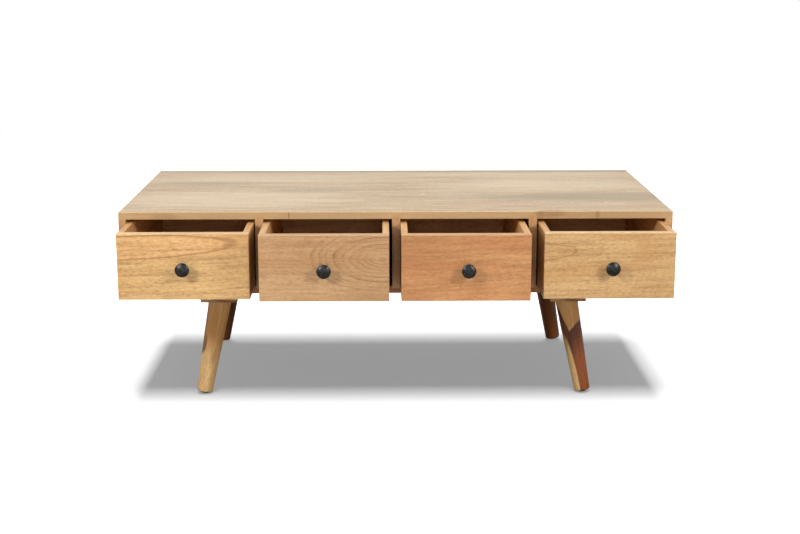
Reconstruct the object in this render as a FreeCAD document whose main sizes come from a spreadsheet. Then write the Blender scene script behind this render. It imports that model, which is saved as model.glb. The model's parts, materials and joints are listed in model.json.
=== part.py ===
import FreeCAD, Part
import Sketcher
import math
import os

# Coffee table with four drawers, in millimetres. The origin is on the floor under the middle of the carcass.
# X runs to the right, Y to the back and Z up, so the drawer fronts face -Y. The drawers stand partly open,
# each by its own pull.

BAYS = 4
DOWELS_PER_JOINT = 4
TAILS = 3
BOTTOM_SCREWS = 3
FULL_TURN = 360
COUNTERSINK_ANGLE = 90
NEAR = 1e-4

# Driving sizes: alias, value, meaning
SIZES = [
    ("table_width", 1200.0, "overall width of the top"),
    ("table_depth", 600.0, "overall depth of the top"),
    ("table_height", 430.0, "floor to the upper face of the top"),
    ("top_thickness", 16.0, "top panel"),
    ("bottom_thickness", 16.0, "bottom panel"),
    ("side_thickness", 16.0, "left and right side"),
    ("divider_thickness", 18.0, "uprights between the bays"),
    ("back_thickness", 16.0, "back panel"),
    ("bay_height", 149.0, "clear height of a drawer opening"),
    ("top_edge_round", 2.0, "rounding of the top's arrises"),
    ("edge_round", 1.2, "rounding of the other boards' arrises"),
    ("housing_depth", 5.0, "housings of the dividers in top and bottom"),
    ("tongue_thickness", 6.0, "tongue round the back panel"),
    ("tongue_length", 5.0, "how far that tongue stands out"),
    ("glue_gap", 0.1, "room at the end of a tongue, tail or housing"),
    ("dowel_diameter", 8.0, "carcass dowels"),
    ("dowel_length", 30.0, "carcass dowels"),
    ("dowel_in_panel", 10.0, "length of a dowel in the top or bottom"),
    ("dowel_chamfer", 0.8, "chamfer at a dowel's ends"),
    ("dowel_gap", 0.1, "room round a dowel"),
    ("dowel_end_gap", 0.5, "room at each end of a dowel"),
    ("dowel_inset", 60.0, "first dowel's distance from the front"),
    ("block_width", 80.0, "square block above each leg"),
    ("block_thickness", 34.0, "same block"),
    ("block_round", 2.0, "rounding of the block's arrises"),
    ("leg_front_left_inset", 204.5, "table's left end to the middle of the front left block"),
    ("leg_front_right_inset", 215.0, "table's right end to the middle of the front right block"),
    ("leg_back_left_inset", 197.0, "table's left end to the middle of the back left block"),
    ("leg_back_right_inset", 228.0, "table's right end to the middle of the back right block"),
    ("leg_from_front", 95.0, "table's front or back edge to the middle of a block"),
    ("leg_spread_x", 39.0, "foot further out than its block, sideways"),
    ("leg_spread_y", 21.0, "foot further out than its block, front to back"),
    ("leg_top_diameter", 51.0, "leg where it meets the block"),
    ("leg_foot_diameter", 35.0, "leg at its end"),
    ("foot_round", 3.5, "rounding of the leg's end"),
    ("foot_height", 4.5, "middle of the leg's end above the floor"),
    ("glide_diameter", 18.0, "domed glide under each leg"),
    ("glide_dome_radius", 22.0, "curve of that dome"),
    ("glide_flat_depth", 0.4, "how deep the dome is flattened where it stands"),
    ("nail_diameter", 2.6, "nail of the glide"),
    ("nail_length", 16.0, "same nail in the leg"),
    ("nail_tip", 3.0, "pointed part of the nail"),
    ("nail_gap", 0.1, "room round the nail"),
    ("bolt_diameter", 8.0, "hanger bolt between leg and block"),
    ("bolt_in_leg", 35.0, "length of the bolt in the leg"),
    ("bolt_in_block", 20.0, "length of the bolt in the block"),
    ("bolt_tip", 6.0, "pointed part of the bolt"),
    ("bolt_gap", 0.1, "room round the bolt"),
    ("insert_wall", 2.0, "wall of the threaded insert in the block"),
    ("insert_length", 18.0, "same insert"),
    ("insert_recess", 4.0, "insert's start above the block's lower face"),
    ("insert_gap", 0.1, "room round the insert"),
    ("screw_diameter", 4.5, "countersunk screws of the blocks"),
    ("screw_head_diameter", 9.0, "same screws"),
    ("screw_in_base", 12.0, "length of the screw in the bottom panel"),
    ("screw_tip", 5.0, "pointed part of the screw"),
    ("screw_from_edge", 12.0, "screw's distance from the block's edges"),
    ("screw_gap", 0.1, "room round the screw"),
    ("drawer_1_play", 1.5, "room at each side of the first drawer from the left, in the middle of its bay"),
    ("drawer_2_play", 3.6, "second drawer"),
    ("drawer_3_play", 4.0, "third drawer"),
    ("drawer_4_play", 1.6, "fourth drawer"),
    ("drawer_top_gap", 8.0, "room above a drawer"),
    ("drawer_back_gap", 24.0, "room behind a closed drawer"),
    ("runner_gap", 0.2, "room between a drawer and the bottom panel"),
    ("drawer_1_pull", 121.0, "how far the first drawer stands open"),
    ("drawer_2_pull", 140.0, "second drawer"),
    ("drawer_3_pull", 140.0, "third drawer"),
    ("drawer_4_pull", 123.0, "fourth drawer"),
    ("drawer_1_offset_share", -0.7, "share of its play by which the first drawer sits to the right"),
    ("drawer_2_offset_share", -0.9, "second drawer"),
    ("drawer_3_offset_share", -0.92, "third drawer"),
    ("drawer_4_offset_share", 0.85, "fourth drawer"),
    ("drawer_front_thickness", 20.0, "drawer front"),
    ("drawer_side_thickness", 14.0, "drawer side"),
    ("drawer_back_thickness", 14.0, "drawer back"),
    ("drawer_bottom_thickness", 6.0, "drawer bottom"),
    ("bottom_groove_depth", 6.0, "groove that holds the drawer bottom"),
    ("bottom_groove_height", 10.0, "groove above the drawer's lower edge"),
    ("front_lap", 6.0, "wood left in front of the dovetails"),
    ("pin_width", 12.0, "wood between two dovetails at their tips"),
    ("tail_flare", 2.5, "how much wider each flank is at the tip"),
    ("back_housing_depth", 5.0, "housing of the drawer back in the sides"),
    ("back_inset", 10.0, "drawer back's distance from the sides' rear ends"),
    ("back_drop", 12.0, "drawer back's top below the sides' tops"),
    ("bottom_screw_diameter", 3.0, "countersunk screws that hold the drawer bottom to the drawer back"),
    ("bottom_screw_head_diameter", 6.0, "same screws"),
    ("bottom_screw_in_back", 14.0, "length of those screws in the drawer back"),
    ("bottom_screw_tip", 3.0, "pointed part of those screws"),
    ("bottom_screw_from_side", 35.0, "outer screws' distance from the drawer's sides"),
    ("stop_width", 30.0, "block that stops a drawer"),
    ("stop_height", 20.0, "same block"),
    ("stop_from_side", 40.0, "same block's distance from the sides of its bay"),
    ("stop_gap", 0.3, "room between a closed drawer and its stops"),
    ("knob_diameter", 30.0, "knob's head"),
    ("knob_length", 25.0, "drawer front to the top of the knob's dome"),
    ("knob_dome_rise", 5.6, "height of the dome"),
    ("knob_rim_thickness", 2.0, "rim below the dome"),
    ("knob_cup_height", 4.0, "flare from neck to rim"),
    ("knob_neck_diameter", 11.0, "neck"),
    ("knob_base_diameter", 17.0, "foot of the knob"),
    ("knob_base_thickness", 1.5, "straight edge of that foot"),
    ("knob_base_taper", 4.5, "foot to neck"),
    ("knob_rise", 67.5, "knob's middle above the drawer's lower edge"),
    ("knob_1_shift", 0.0, "first knob to the right of the middle of its drawer"),
    ("knob_2_shift", 0.0, "second knob"),
    ("knob_3_shift", 4.5, "third knob"),
    ("knob_4_shift", 4.5, "fourth knob"),
    ("knob_rim_round", 0.8, "rounding of the rim"),
    ("knob_screw_diameter", 4.0, "machine screw of the knob"),
    ("knob_screw_depth", 10.0, "length of that screw in the knob"),
    ("knob_screw_head_diameter", 8.0, "flat round head inside the drawer"),
    ("knob_screw_head_height", 2.6, "same head"),
    ("knob_screw_gap", 0.1, "room round that screw"),
    ("overrun", 5.0, "how far a cut runs past its board"),
]

# Carcass sizes that follow from the driving ones
HALF_WIDTH = "(Sizes.table_width / 2)"
HALF_DEPTH = "(Sizes.table_depth / 2)"
INNER_HALF = f"({HALF_WIDTH} - Sizes.side_thickness)"
TOP_UNDERSIDE = "(Sizes.table_height - Sizes.top_thickness)"
BAY_FLOOR = f"({TOP_UNDERSIDE} - Sizes.bay_height)"
BASE_UNDERSIDE = f"({BAY_FLOOR} - Sizes.bottom_thickness)"
BLOCK_UNDERSIDE = f"({BASE_UNDERSIDE} - Sizes.block_thickness)"
BACK_FACE = f"({HALF_DEPTH} - Sizes.back_thickness)"
BAY_WIDTH = f"((2 * {INNER_HALF} - {BAYS - 1} * Sizes.divider_thickness) / {BAYS})"
TONGUE_FRONT = f"({BACK_FACE} + (Sizes.back_thickness - Sizes.tongue_thickness) / 2)"
TONGUE_REAR = f"({TONGUE_FRONT} + Sizes.tongue_thickness)"
GROOVE_DEPTH = "(Sizes.tongue_length + Sizes.glue_gap)"
DIVIDER_REACH = "(Sizes.housing_depth - Sizes.glue_gap)"
DOWEL_IN_SIDE = "(Sizes.dowel_length - Sizes.dowel_in_panel)"
DOWEL_LINE = f"({HALF_WIDTH} - Sizes.side_thickness / 2)"
DOWEL_FRONT = f"(Sizes.dowel_inset - {HALF_DEPTH})"
DOWEL_SPAN = "(Sizes.table_depth - 2 * Sizes.dowel_inset)"
DOWEL_HOLE = "(Sizes.dowel_diameter + 2 * Sizes.dowel_gap)"

# Leg sizes, along the leg's own axis from the middle of its end
LEG_Y = f"({HALF_DEPTH} - Sizes.leg_from_front)"
LEG_RISE = f"({BLOCK_UNDERSIDE} - Sizes.foot_height)"
LEG_SPREAD = "hypot(Sizes.leg_spread_x; Sizes.leg_spread_y)"
LEG_LEAN = f"atan2({LEG_SPREAD}; {LEG_RISE})"
LEG_LENGTH = f"hypot({LEG_SPREAD}; {LEG_RISE})"
LEG_SLOPE = f"({LEG_SPREAD} / {LEG_RISE})"
LEG_TOP_RADIUS = "(Sizes.leg_top_diameter / 2)"
LEG_FOOT_RADIUS = "(Sizes.leg_foot_diameter / 2)"
LEG_BLANK = f"({LEG_LENGTH} + Sizes.leg_top_diameter * {LEG_SLOPE})"
LEG_BLANK_RADIUS = (
    f"({LEG_FOOT_RADIUS} + ({LEG_TOP_RADIUS} - {LEG_FOOT_RADIUS}) * {LEG_BLANK} / {LEG_LENGTH})"
)
GLIDE_RADIUS = "(Sizes.glide_diameter / 2)"
GLIDE_CENTRE = (
    f"((Sizes.glide_dome_radius - Sizes.glide_flat_depth - Sizes.foot_height) / cos({LEG_LEAN}))"
)
GLIDE_TIP = f"({GLIDE_CENTRE} - Sizes.glide_dome_radius)"
GLIDE_EDGE = f"({GLIDE_CENTRE} - sqrt(Sizes.glide_dome_radius ^ 2 - {GLIDE_RADIUS} ^ 2))"
FLOOR_CROSSING = f"(-Sizes.foot_height / cos({LEG_LEAN}))"
SCREW_OFFSET = "(Sizes.block_width / 2 - Sizes.screw_from_edge)"
SCREW_LENGTH = "(Sizes.block_thickness + Sizes.screw_in_base)"
SCREW_HOLE = "(Sizes.screw_diameter + 2 * Sizes.screw_gap)"
BOLT_HOLE = "(Sizes.bolt_diameter + 2 * Sizes.bolt_gap)"
INSERT_RADIUS = "(Sizes.bolt_diameter / 2 + Sizes.bolt_gap + Sizes.insert_wall)"
INSERT_END = "(Sizes.insert_recess + Sizes.insert_length)"

# Drawer sizes, in the drawer's own frame: x from its middle, y from its face, z from its lower edge
DRAWER_HEIGHT = "(Sizes.bay_height - Sizes.drawer_top_gap - Sizes.runner_gap)"
DRAWER_LENGTH = "(Sizes.table_depth - Sizes.back_thickness - Sizes.drawer_back_gap)"
TAIL_PITCH = f"({DRAWER_HEIGHT} / {TAILS})"
TAIL_SPAN = f"({DRAWER_HEIGHT} - {TAIL_PITCH})"
TAIL_HALF_TIP = f"(({TAIL_PITCH} - Sizes.pin_width) / 2)"
TAIL_HALF_ROOT = f"({TAIL_HALF_TIP} - Sizes.tail_flare)"
BOTTOM_TOP = "(Sizes.bottom_groove_height + Sizes.drawer_bottom_thickness)"
BOTTOM_REACH = "(Sizes.bottom_groove_depth - Sizes.glue_gap)"
DRAWER_BACK_REAR = f"({DRAWER_LENGTH} - Sizes.back_inset)"
DRAWER_BACK_FRONT = f"({DRAWER_BACK_REAR} - Sizes.drawer_back_thickness)"
DRAWER_BACK_MIDDLE = f"({DRAWER_BACK_REAR} - Sizes.drawer_back_thickness / 2)"
BOTTOM_SCREW_LENGTH = "(Sizes.drawer_bottom_thickness + Sizes.bottom_screw_in_back)"
BOTTOM_SCREW_HOLE = "(Sizes.bottom_screw_diameter + 2 * Sizes.screw_gap)"
KNOB_HOLE = "(Sizes.knob_screw_diameter + 2 * Sizes.knob_screw_gap)"
KNOB_RADIUS = "(Sizes.knob_diameter / 2)"
KNOB_RIM_TOP = "(Sizes.knob_length - Sizes.knob_dome_rise)"
KNOB_RIM_BASE = f"({KNOB_RIM_TOP} - Sizes.knob_rim_thickness)"
KNOB_NECK_TOP = f"({KNOB_RIM_BASE} - Sizes.knob_cup_height)"
KNOB_DOME_RADIUS = f"(({KNOB_RADIUS} ^ 2 / Sizes.knob_dome_rise + Sizes.knob_dome_rise) / 2)"

doc = FreeCAD.newDocument("CoffeeTable")
sheet = doc.addObject("Spreadsheet::Sheet", "Sizes")
for row, (alias, value, meaning) in enumerate(SIZES, start=1):
    sheet.set(f"A{row}", meaning)
    sheet.set(f"B{row}", str(value))
    sheet.setAlias(f"B{row}", alias)
doc.recompute()

nodes = []


# Sketches


def number(expression):
    """The value of an expression, in millimetres or degrees."""
    result = sheet.evalExpression(expression)
    return float(getattr(result, "Value", result))


def vector(point):
    return FreeCAD.Vector(number(point[0]), number(point[1]), 0)


def rectangle(x_range, y_range):
    """The corners of a rectangle, anticlockwise."""
    left, right = x_range
    near, far = y_range
    return [(left, near), (right, near), (right, far), (left, far)]


def new_sketch(body, name, plane, offset="0"):
    """A sketch on one of the body's own origin planes, moved along that plane's normal."""
    sketch = body.newObject("Sketcher::SketchObject", name)
    support = [feature for feature in body.Origin.OriginFeatures if feature.Role == plane]
    sketch.AttachmentSupport = [(support[0], "")]
    sketch.MapMode = "FlatFace"
    sketch.setExpression("AttachmentOffset.Base.z", offset)
    return sketch


def bind(sketch, kind, places, expression):
    """A dimension of the sketch that follows an expression."""
    index = sketch.addConstraint(Sketcher.Constraint(kind, *places, number(expression)))
    sketch.setExpression(f"Constraints[{index}]", expression)


def hold(sketch, geometry, end, point):
    """Ties one point of a line, arc or circle to its place."""
    bind(sketch, "DistanceX", (-1, 1, geometry, end), point[0])
    bind(sketch, "DistanceY", (-1, 1, geometry, end), point[1])


def arc_between(start, end, radius):
    """An arc from start to end that bulges to the right of the way there."""
    chord = end - start
    left = FreeCAD.Vector(-chord.y, chord.x, 0).normalize()
    centre = (start + end) / 2 + left * math.sqrt(radius ** 2 - (chord.Length / 2) ** 2)
    first_angle = math.atan2(start.y - centre.y, start.x - centre.x)
    last_angle = math.atan2(end.y - centre.y, end.x - centre.x)
    circle = Part.Circle(centre, FreeCAD.Vector(0, 0, 1), radius)
    return Part.ArcOfCircle(circle, first_angle, last_angle)


def outline(sketch, points, arcs=None):
    """A closed outline, anticlockwise. arcs gives the radius of each edge that bulges outward."""
    arcs = arcs or {}
    edges = []
    for index, point in enumerate(points):
        start, end = vector(point), vector(points[(index + 1) % len(points)])
        if index in arcs:
            edge = sketch.addGeometry(arc_between(start, end, number(arcs[index])), False)
            bind(sketch, "Radius", (edge,), arcs[index])
        else:
            edge = sketch.addGeometry(Part.LineSegment(start, end), False)
        edges.append(edge)
    for index, edge in enumerate(edges):
        following = edges[(index + 1) % len(edges)]
        sketch.addConstraint(Sketcher.Constraint("Coincident", edge, 2, following, 1))
        hold(sketch, edge, 1, points[index])


def circles(sketch, centres, diameter):
    for centre in centres:
        circle = Part.Circle(vector(centre), FreeCAD.Vector(0, 0, 1), number(diameter) / 2)
        geometry = sketch.addGeometry(circle, False)
        bind(sketch, "Diameter", (geometry,), diameter)
        hold(sketch, geometry, 3, centre)


# Features


def new_body(label):
    body = doc.addObject("PartDesign::Body", label)
    body.Label = label
    return body


def make_node(piece):
    """Marks a piece as one that is written out."""
    nodes.append(piece)
    return piece


def pad(body, name, sketch, length, back=False):
    feature = body.newObject("PartDesign::Pad", name)
    feature.Profile = sketch
    feature.Reversed = back
    feature.setExpression("Length", length)
    body.Tip = feature
    doc.recompute()
    return feature


def pocket(body, name, sketch, length, forward=False, both_ways=False):
    """A cut from the sketch against its normal, along it or both ways, which must take some wood away."""
    before = body.Shape.Volume
    feature = body.newObject("PartDesign::Pocket", name)
    feature.Profile = sketch
    feature.SideType = "Symmetric" if both_ways else "One side"
    feature.Reversed = forward
    feature.setExpression("Length", length)
    body.Tip = feature
    doc.recompute()
    if body.Shape.Volume >= before - NEAR:
        raise RuntimeError(f"{name} cuts nothing")
    return feature


def repeat(body, name, feature, axis, span, occurrences):
    """Repeats a feature along an axis of its sketch, evenly over a span."""
    pattern = body.newObject("PartDesign::LinearPattern", name)
    pattern.Originals = [feature]
    pattern.Direction = (feature.Profile[0], [axis])
    pattern.setExpression("Length", span)
    pattern.Occurrences = occurrences
    body.Tip = pattern
    doc.recompute()
    return pattern


def turn(body, name, points, arcs=None):
    """A solid of revolution about the body's Z axis. Points are radius and height."""
    sketch = new_sketch(body, f"{name}_profile", "XZ_Plane")
    outline(sketch, points, arcs)
    feature = body.newObject("PartDesign::Revolution", name)
    feature.Profile = sketch
    feature.ReferenceAxis = (sketch, ["V_Axis"])
    feature.Angle = FULL_TURN
    body.Tip = feature
    doc.recompute()
    return feature


def countersunk_holes(body, name, sketch, diameter, head_diameter):
    """Holes from a sketch on the body's lower face right through it, with their countersinks in that face."""
    doc.recompute()
    holes = body.newObject("PartDesign::Hole", name)
    holes.Profile = sketch
    holes.DepthType = "ThroughAll"
    holes.Reversed = True
    holes.HoleCutType = "Countersink"
    holes.HoleCutCustomValues = True
    holes.HoleCutCountersinkAngle = COUNTERSINK_ANGLE
    holes.setExpression("Diameter", diameter)
    holes.setExpression("HoleCutDiameter", f"{head_diameter} + 2 * Sizes.screw_gap")
    body.Tip = holes
    doc.recompute()


def wood_screw(label, diameter, head_diameter, length, tip):
    """A countersunk screw that points up from the middle of its head."""
    body = new_body(label)
    turn(
        body,
        f"{label}_shank",
        [
            ("0", "0"),
            (f"{head_diameter} / 2", "0"),
            (f"{diameter} / 2", f"({head_diameter} - {diameter}) / 2"),
            (f"{diameter} / 2", f"{length} - {tip}"),
            ("0", length),
        ],
    )
    return body


def lies_on(edge, axis, expression):
    """Whether a whole edge lies in the plane where axis has this value."""
    value = number(expression)
    low = getattr(edge.BoundBox, f"{axis}Min")
    high = getattr(edge.BoundBox, f"{axis}Max")
    return abs(low - value) < NEAR and abs(high - value) < NEAR


def runs_along(edge, axis):
    """Whether an edge is a straight line along this axis."""
    others = [name for name in "XYZ" if name != axis]
    widths = [getattr(edge.BoundBox, f"{name}Length") for name in others]
    return max(widths) < NEAR


def ease(body, name, radius, chosen):
    """Rounds the edges of the body's last feature that are chosen."""
    base = body.Tip
    edges = [f"Edge{index}" for index, edge in enumerate(base.Shape.Edges, start=1) if chosen(edge)]
    feature = body.newObject("PartDesign::Fillet", name)
    feature.Base = (base, edges)
    feature.setExpression("Radius", radius)
    body.Tip = feature
    doc.recompute()
    return feature


def board(label, x_range, y_range, z_range):
    """A plain board between three pairs of values."""
    body = new_body(label)
    sketch = new_sketch(body, f"{label}_outline", "XY_Plane", z_range[0])
    outline(sketch, rectangle(x_range, y_range))
    pad(body, f"{label}_board", sketch, f"{z_range[1]} - {z_range[0]}")
    return body


def group(label, piece, placements):
    """Like pieces that share one node: a separate copy of the piece at each placement."""
    links = []
    for placement in placements:
        link = doc.addObject("App::Link", f"{label}_copy")
        link.LinkedObject = piece
        link.LinkTransform = False
        link.setExpression("Placement", placement)
        links.append(link)
    compound = doc.addObject("Part::Compound", label)
    compound.Label = label
    compound.Links = links
    doc.recompute()
    return make_node(compound)


def placement(x, y, z, rotation="rotationz(0)"):
    return f"placement(vector({x}; {y}; {z}); {rotation})"


def around(middle):
    """A range of the same reach to both sides of zero."""
    return (f"-{middle}", middle)


# Carcass


def divider_middle(index):
    """Middle of an upright, counted from one at the left."""
    return f"({index} * {BAY_WIDTH} + ({index} - 0.5) * Sizes.divider_thickness - {INNER_HALF})"


def bay_middle(index):
    """Middle of a bay, counted from one at the left."""
    return f"(({index} - 0.5) * {BAY_WIDTH} + ({index} - 1) * Sizes.divider_thickness - {INNER_HALF})"


def cut_housings(body, level, upward):
    """Housings for the dividers, the groove for the back panel and the dowel holes, all in one face."""
    name = body.Label
    housings = new_sketch(body, f"{name}_housing_outlines", "XY_Plane", level)
    for index in range(1, BAYS):
        middle = divider_middle(index)
        x_range = (
            f"{middle} - Sizes.divider_thickness / 2",
            f"{middle} + Sizes.divider_thickness / 2",
        )
        outline(housings, rectangle(x_range, (f"-{HALF_DEPTH} - Sizes.overrun", BACK_FACE)))
    pocket(body, f"{name}_housings", housings, "Sizes.housing_depth", upward)
    groove = new_sketch(body, f"{name}_groove_outline", "XY_Plane", level)
    outline(groove, rectangle(around(f"({INNER_HALF} + {GROOVE_DEPTH})"), (TONGUE_FRONT, TONGUE_REAR)))
    pocket(body, f"{name}_groove", groove, GROOVE_DEPTH, upward)
    holes = new_sketch(body, f"{name}_dowel_circles", "XY_Plane", level)
    circles(holes, [(f"-{DOWEL_LINE}", DOWEL_FRONT), (DOWEL_LINE, DOWEL_FRONT)], DOWEL_HOLE)
    depth = "Sizes.dowel_in_panel + Sizes.dowel_end_gap"
    first = pocket(body, f"{name}_dowel_holes", holes, depth, upward)
    repeat(body, f"{name}_dowel_rows", first, "V_Axis", DOWEL_SPAN, DOWELS_PER_JOINT)


def make_top():
    body = board("top_panel", around(HALF_WIDTH), around(HALF_DEPTH), (TOP_UNDERSIDE, "Sizes.table_height"))
    ease(
        body,
        "top_panel_arrises",
        "Sizes.top_edge_round",
        lambda edge: lies_on(edge, "Z", "Sizes.table_height") or runs_along(edge, "Z"),
    )
    cut_housings(body, TOP_UNDERSIDE, upward=True)
    make_node(body)


def make_bottom():
    body = board("bottom_panel", around(HALF_WIDTH), around(HALF_DEPTH), (BASE_UNDERSIDE, BAY_FLOOR))
    ease(
        body,
        "bottom_panel_arrises",
        "Sizes.edge_round",
        lambda edge: lies_on(edge, "Z", BASE_UNDERSIDE) or runs_along(edge, "Z"),
    )
    cut_housings(body, BAY_FLOOR, upward=False)
    pilots = new_sketch(body, "bottom_panel_pilot_circles", "XY_Plane", BASE_UNDERSIDE)
    centres = []
    for side, end in corners():
        x, y = leg_middle(side, end)
        centres += [(f"{x} + {dx}", f"{y} + {dy}") for dx, dy in screw_places()]
    circles(pilots, centres, SCREW_HOLE)
    pocket(body, "bottom_panel_pilots", pilots, "Sizes.screw_in_base + Sizes.screw_gap", forward=True)
    make_node(body)


def make_side(label, sign):
    inner, outer = f"{sign} * {INNER_HALF}", f"{sign} * {HALF_WIDTH}"
    x_range = (outer, inner) if sign < 0 else (inner, outer)
    body = board(label, x_range, around(HALF_DEPTH), (BAY_FLOOR, TOP_UNDERSIDE))
    ease(body, f"{label}_arrises", "Sizes.edge_round", lambda edge: runs_along(edge, "Z"))
    groove = new_sketch(body, f"{label}_groove_outline", "YZ_Plane", inner)
    z_range = (f"{BAY_FLOOR} - Sizes.overrun", f"{TOP_UNDERSIDE} + Sizes.overrun")
    outline(groove, rectangle((TONGUE_FRONT, TONGUE_REAR), z_range))
    pocket(body, f"{label}_groove", groove, GROOVE_DEPTH, forward=sign > 0)
    for name, level, upward in (("upper", TOP_UNDERSIDE, False), ("lower", BAY_FLOOR, True)):
        holes = new_sketch(body, f"{label}_{name}_circles", "XY_Plane", level)
        circles(holes, [(f"{sign} * {DOWEL_LINE}", DOWEL_FRONT)], DOWEL_HOLE)
        depth = f"{DOWEL_IN_SIDE} + Sizes.dowel_end_gap"
        first = pocket(body, f"{label}_{name}_holes", holes, depth, forward=upward)
        repeat(body, f"{label}_{name}_row", first, "V_Axis", DOWEL_SPAN, DOWELS_PER_JOINT)
    make_node(body)


def make_divider(index):
    middle = divider_middle(index)
    label = f"divider_{index}"
    x_range = (f"{middle} - Sizes.divider_thickness / 2", f"{middle} + Sizes.divider_thickness / 2")
    z_range = (f"({BAY_FLOOR} - {DIVIDER_REACH})", f"({TOP_UNDERSIDE} + {DIVIDER_REACH})")
    body = board(label, x_range, (f"-{HALF_DEPTH}", BACK_FACE), z_range)
    ease(
        body,
        f"{label}_arrises",
        "Sizes.edge_round",
        lambda edge: runs_along(edge, "Z") and lies_on(edge, "Y", f"-{HALF_DEPTH}"),
    )
    make_node(body)


def make_back():
    body = board("back_panel", around(INNER_HALF), (BACK_FACE, HALF_DEPTH), (BAY_FLOOR, TOP_UNDERSIDE))
    tongue = new_sketch(body, "back_panel_tongue_outline", "XY_Plane", f"{BAY_FLOOR} - Sizes.tongue_length")
    outline(tongue, rectangle(around(f"({INNER_HALF} + Sizes.tongue_length)"), (TONGUE_FRONT, TONGUE_REAR)))
    pad(body, "back_panel_tongue", tongue, "Sizes.bay_height + 2 * Sizes.tongue_length")
    make_node(body)


def make_dowels():
    dowel = new_body("dowel")
    radius = "(Sizes.dowel_diameter / 2)"
    turn(
        dowel,
        "dowel_pin",
        [
            ("0", "0"),
            (f"{radius} - Sizes.dowel_chamfer", "0"),
            (radius, "Sizes.dowel_chamfer"),
            (radius, "Sizes.dowel_length - Sizes.dowel_chamfer"),
            (f"{radius} - Sizes.dowel_chamfer", "Sizes.dowel_length"),
            ("0", "Sizes.dowel_length"),
        ],
    )
    placements = []
    for sign in (-1, 1):
        for level in (f"{TOP_UNDERSIDE} - {DOWEL_IN_SIDE}", f"{BAY_FLOOR} - Sizes.dowel_in_panel"):
            for index in range(DOWELS_PER_JOINT):
                y = f"{DOWEL_FRONT} + {DOWEL_SPAN} * {index} / {DOWELS_PER_JOINT - 1}"
                placements.append(placement(f"{sign} * {DOWEL_LINE}", y, level))
    group("carcass_dowels", dowel, placements)


# Legs


def corners():
    """Side and end of each leg: the signs of its x and y."""
    return [(side, end) for end in (-1, 1) for side in (-1, 1)]


def corner_name(side, end):
    return f"{'front' if end < 0 else 'back'}_{'left' if side < 0 else 'right'}"


def leg_middle(side, end):
    inset = f"Sizes.leg_{corner_name(side, end)}_inset"
    return f"({side} * ({HALF_WIDTH} - {inset}))", f"({end} * {LEG_Y})"


def leg_rotation(side, end):
    """Turns Z to run from the foot up to the block."""
    heading = f"atan2({-end} * Sizes.leg_spread_y; {-side} * Sizes.leg_spread_x)"
    return f"rotationz({heading}) * rotationy({LEG_LEAN})"


def screw_places():
    """The four screws of a block, from its middle."""
    return [(f"{x} * {SCREW_OFFSET}", f"{y} * {SCREW_OFFSET}") for x, y in corners()]


def foot_placement(side, end):
    x, y = leg_middle(side, end)
    foot_x = f"{x} + {side} * Sizes.leg_spread_x"
    foot_y = f"{y} + {end} * Sizes.leg_spread_y"
    return placement(foot_x, foot_y, "Sizes.foot_height", leg_rotation(side, end))


def make_block(side, end):
    label = f"leg_block_{corner_name(side, end)}"
    half = "(Sizes.block_width / 2)"
    body = board(label, around(half), around(half), ("0", "Sizes.block_thickness"))
    ease(
        body,
        f"{label}_arrises",
        "Sizes.block_round",
        lambda edge: runs_along(edge, "Z") or lies_on(edge, "Z", "0"),
    )
    bore = body.newObject("PartDesign::SubtractiveCylinder", f"{label}_bore")
    bore.setExpression("Radius", f"{INSERT_RADIUS} + Sizes.insert_gap")
    bore.setExpression("Height", f"Sizes.overrun + {INSERT_END} + Sizes.insert_gap")
    start = placement("0", "0", "-Sizes.overrun")
    bore.setExpression("Placement", f"{placement('0', '0', '0', leg_rotation(side, end))} * {start}")
    body.Tip = bore
    sketch = new_sketch(body, f"{label}_screw_circles", "XY_Plane")
    circles(sketch, screw_places(), SCREW_HOLE)
    countersunk_holes(body, f"{label}_screw_holes", sketch, SCREW_HOLE, "Sizes.screw_head_diameter")
    x, y = leg_middle(side, end)
    body.setExpression("Placement", placement(x, y, BLOCK_UNDERSIDE))
    doc.recompute()
    make_node(body)


def make_leg(side, end):
    """A tapered round leg, cut level where it meets its block."""
    label = f"leg_{corner_name(side, end)}"
    body = new_body(label)
    turn(
        body,
        f"{label}_taper",
        [("0", "0"), (LEG_FOOT_RADIUS, "0"), (LEG_BLANK_RADIUS, LEG_BLANK), ("0", LEG_BLANK)],
    )
    ease(body, f"{label}_end", "Sizes.foot_round", lambda edge: lies_on(edge, "Z", "0"))
    reach = "Sizes.leg_top_diameter"
    level = new_sketch(body, f"{label}_level", "XZ_Plane")
    outline(
        level,
        [
            (f"-{reach}", f"{LEG_LENGTH} - {reach} * {LEG_SLOPE}"),
            (reach, f"{LEG_LENGTH} + {reach} * {LEG_SLOPE}"),
            (reach, f"{LEG_BLANK} + {reach}"),
            (f"-{reach}", f"{LEG_BLANK} + {reach}"),
        ],
    )
    pocket(body, f"{label}_level_cut", level, f"2 * {reach}", both_ways=True)
    bolt = new_sketch(body, f"{label}_bolt_circle", "XY_Plane", f"{LEG_LENGTH} - Sizes.bolt_in_leg")
    circles(bolt, [("0", "0")], BOLT_HOLE)
    pocket(body, f"{label}_bolt_hole", bolt, f"Sizes.bolt_in_leg + {reach}", forward=True)
    nail = new_sketch(body, f"{label}_nail_circle", "XY_Plane")
    circles(nail, [("0", "0")], "Sizes.nail_diameter + 2 * Sizes.nail_gap")
    pocket(body, f"{label}_nail_hole", nail, "Sizes.nail_length + Sizes.nail_gap", forward=True)
    body.setExpression("Placement", foot_placement(side, end))
    doc.recompute()
    make_node(body)


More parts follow.
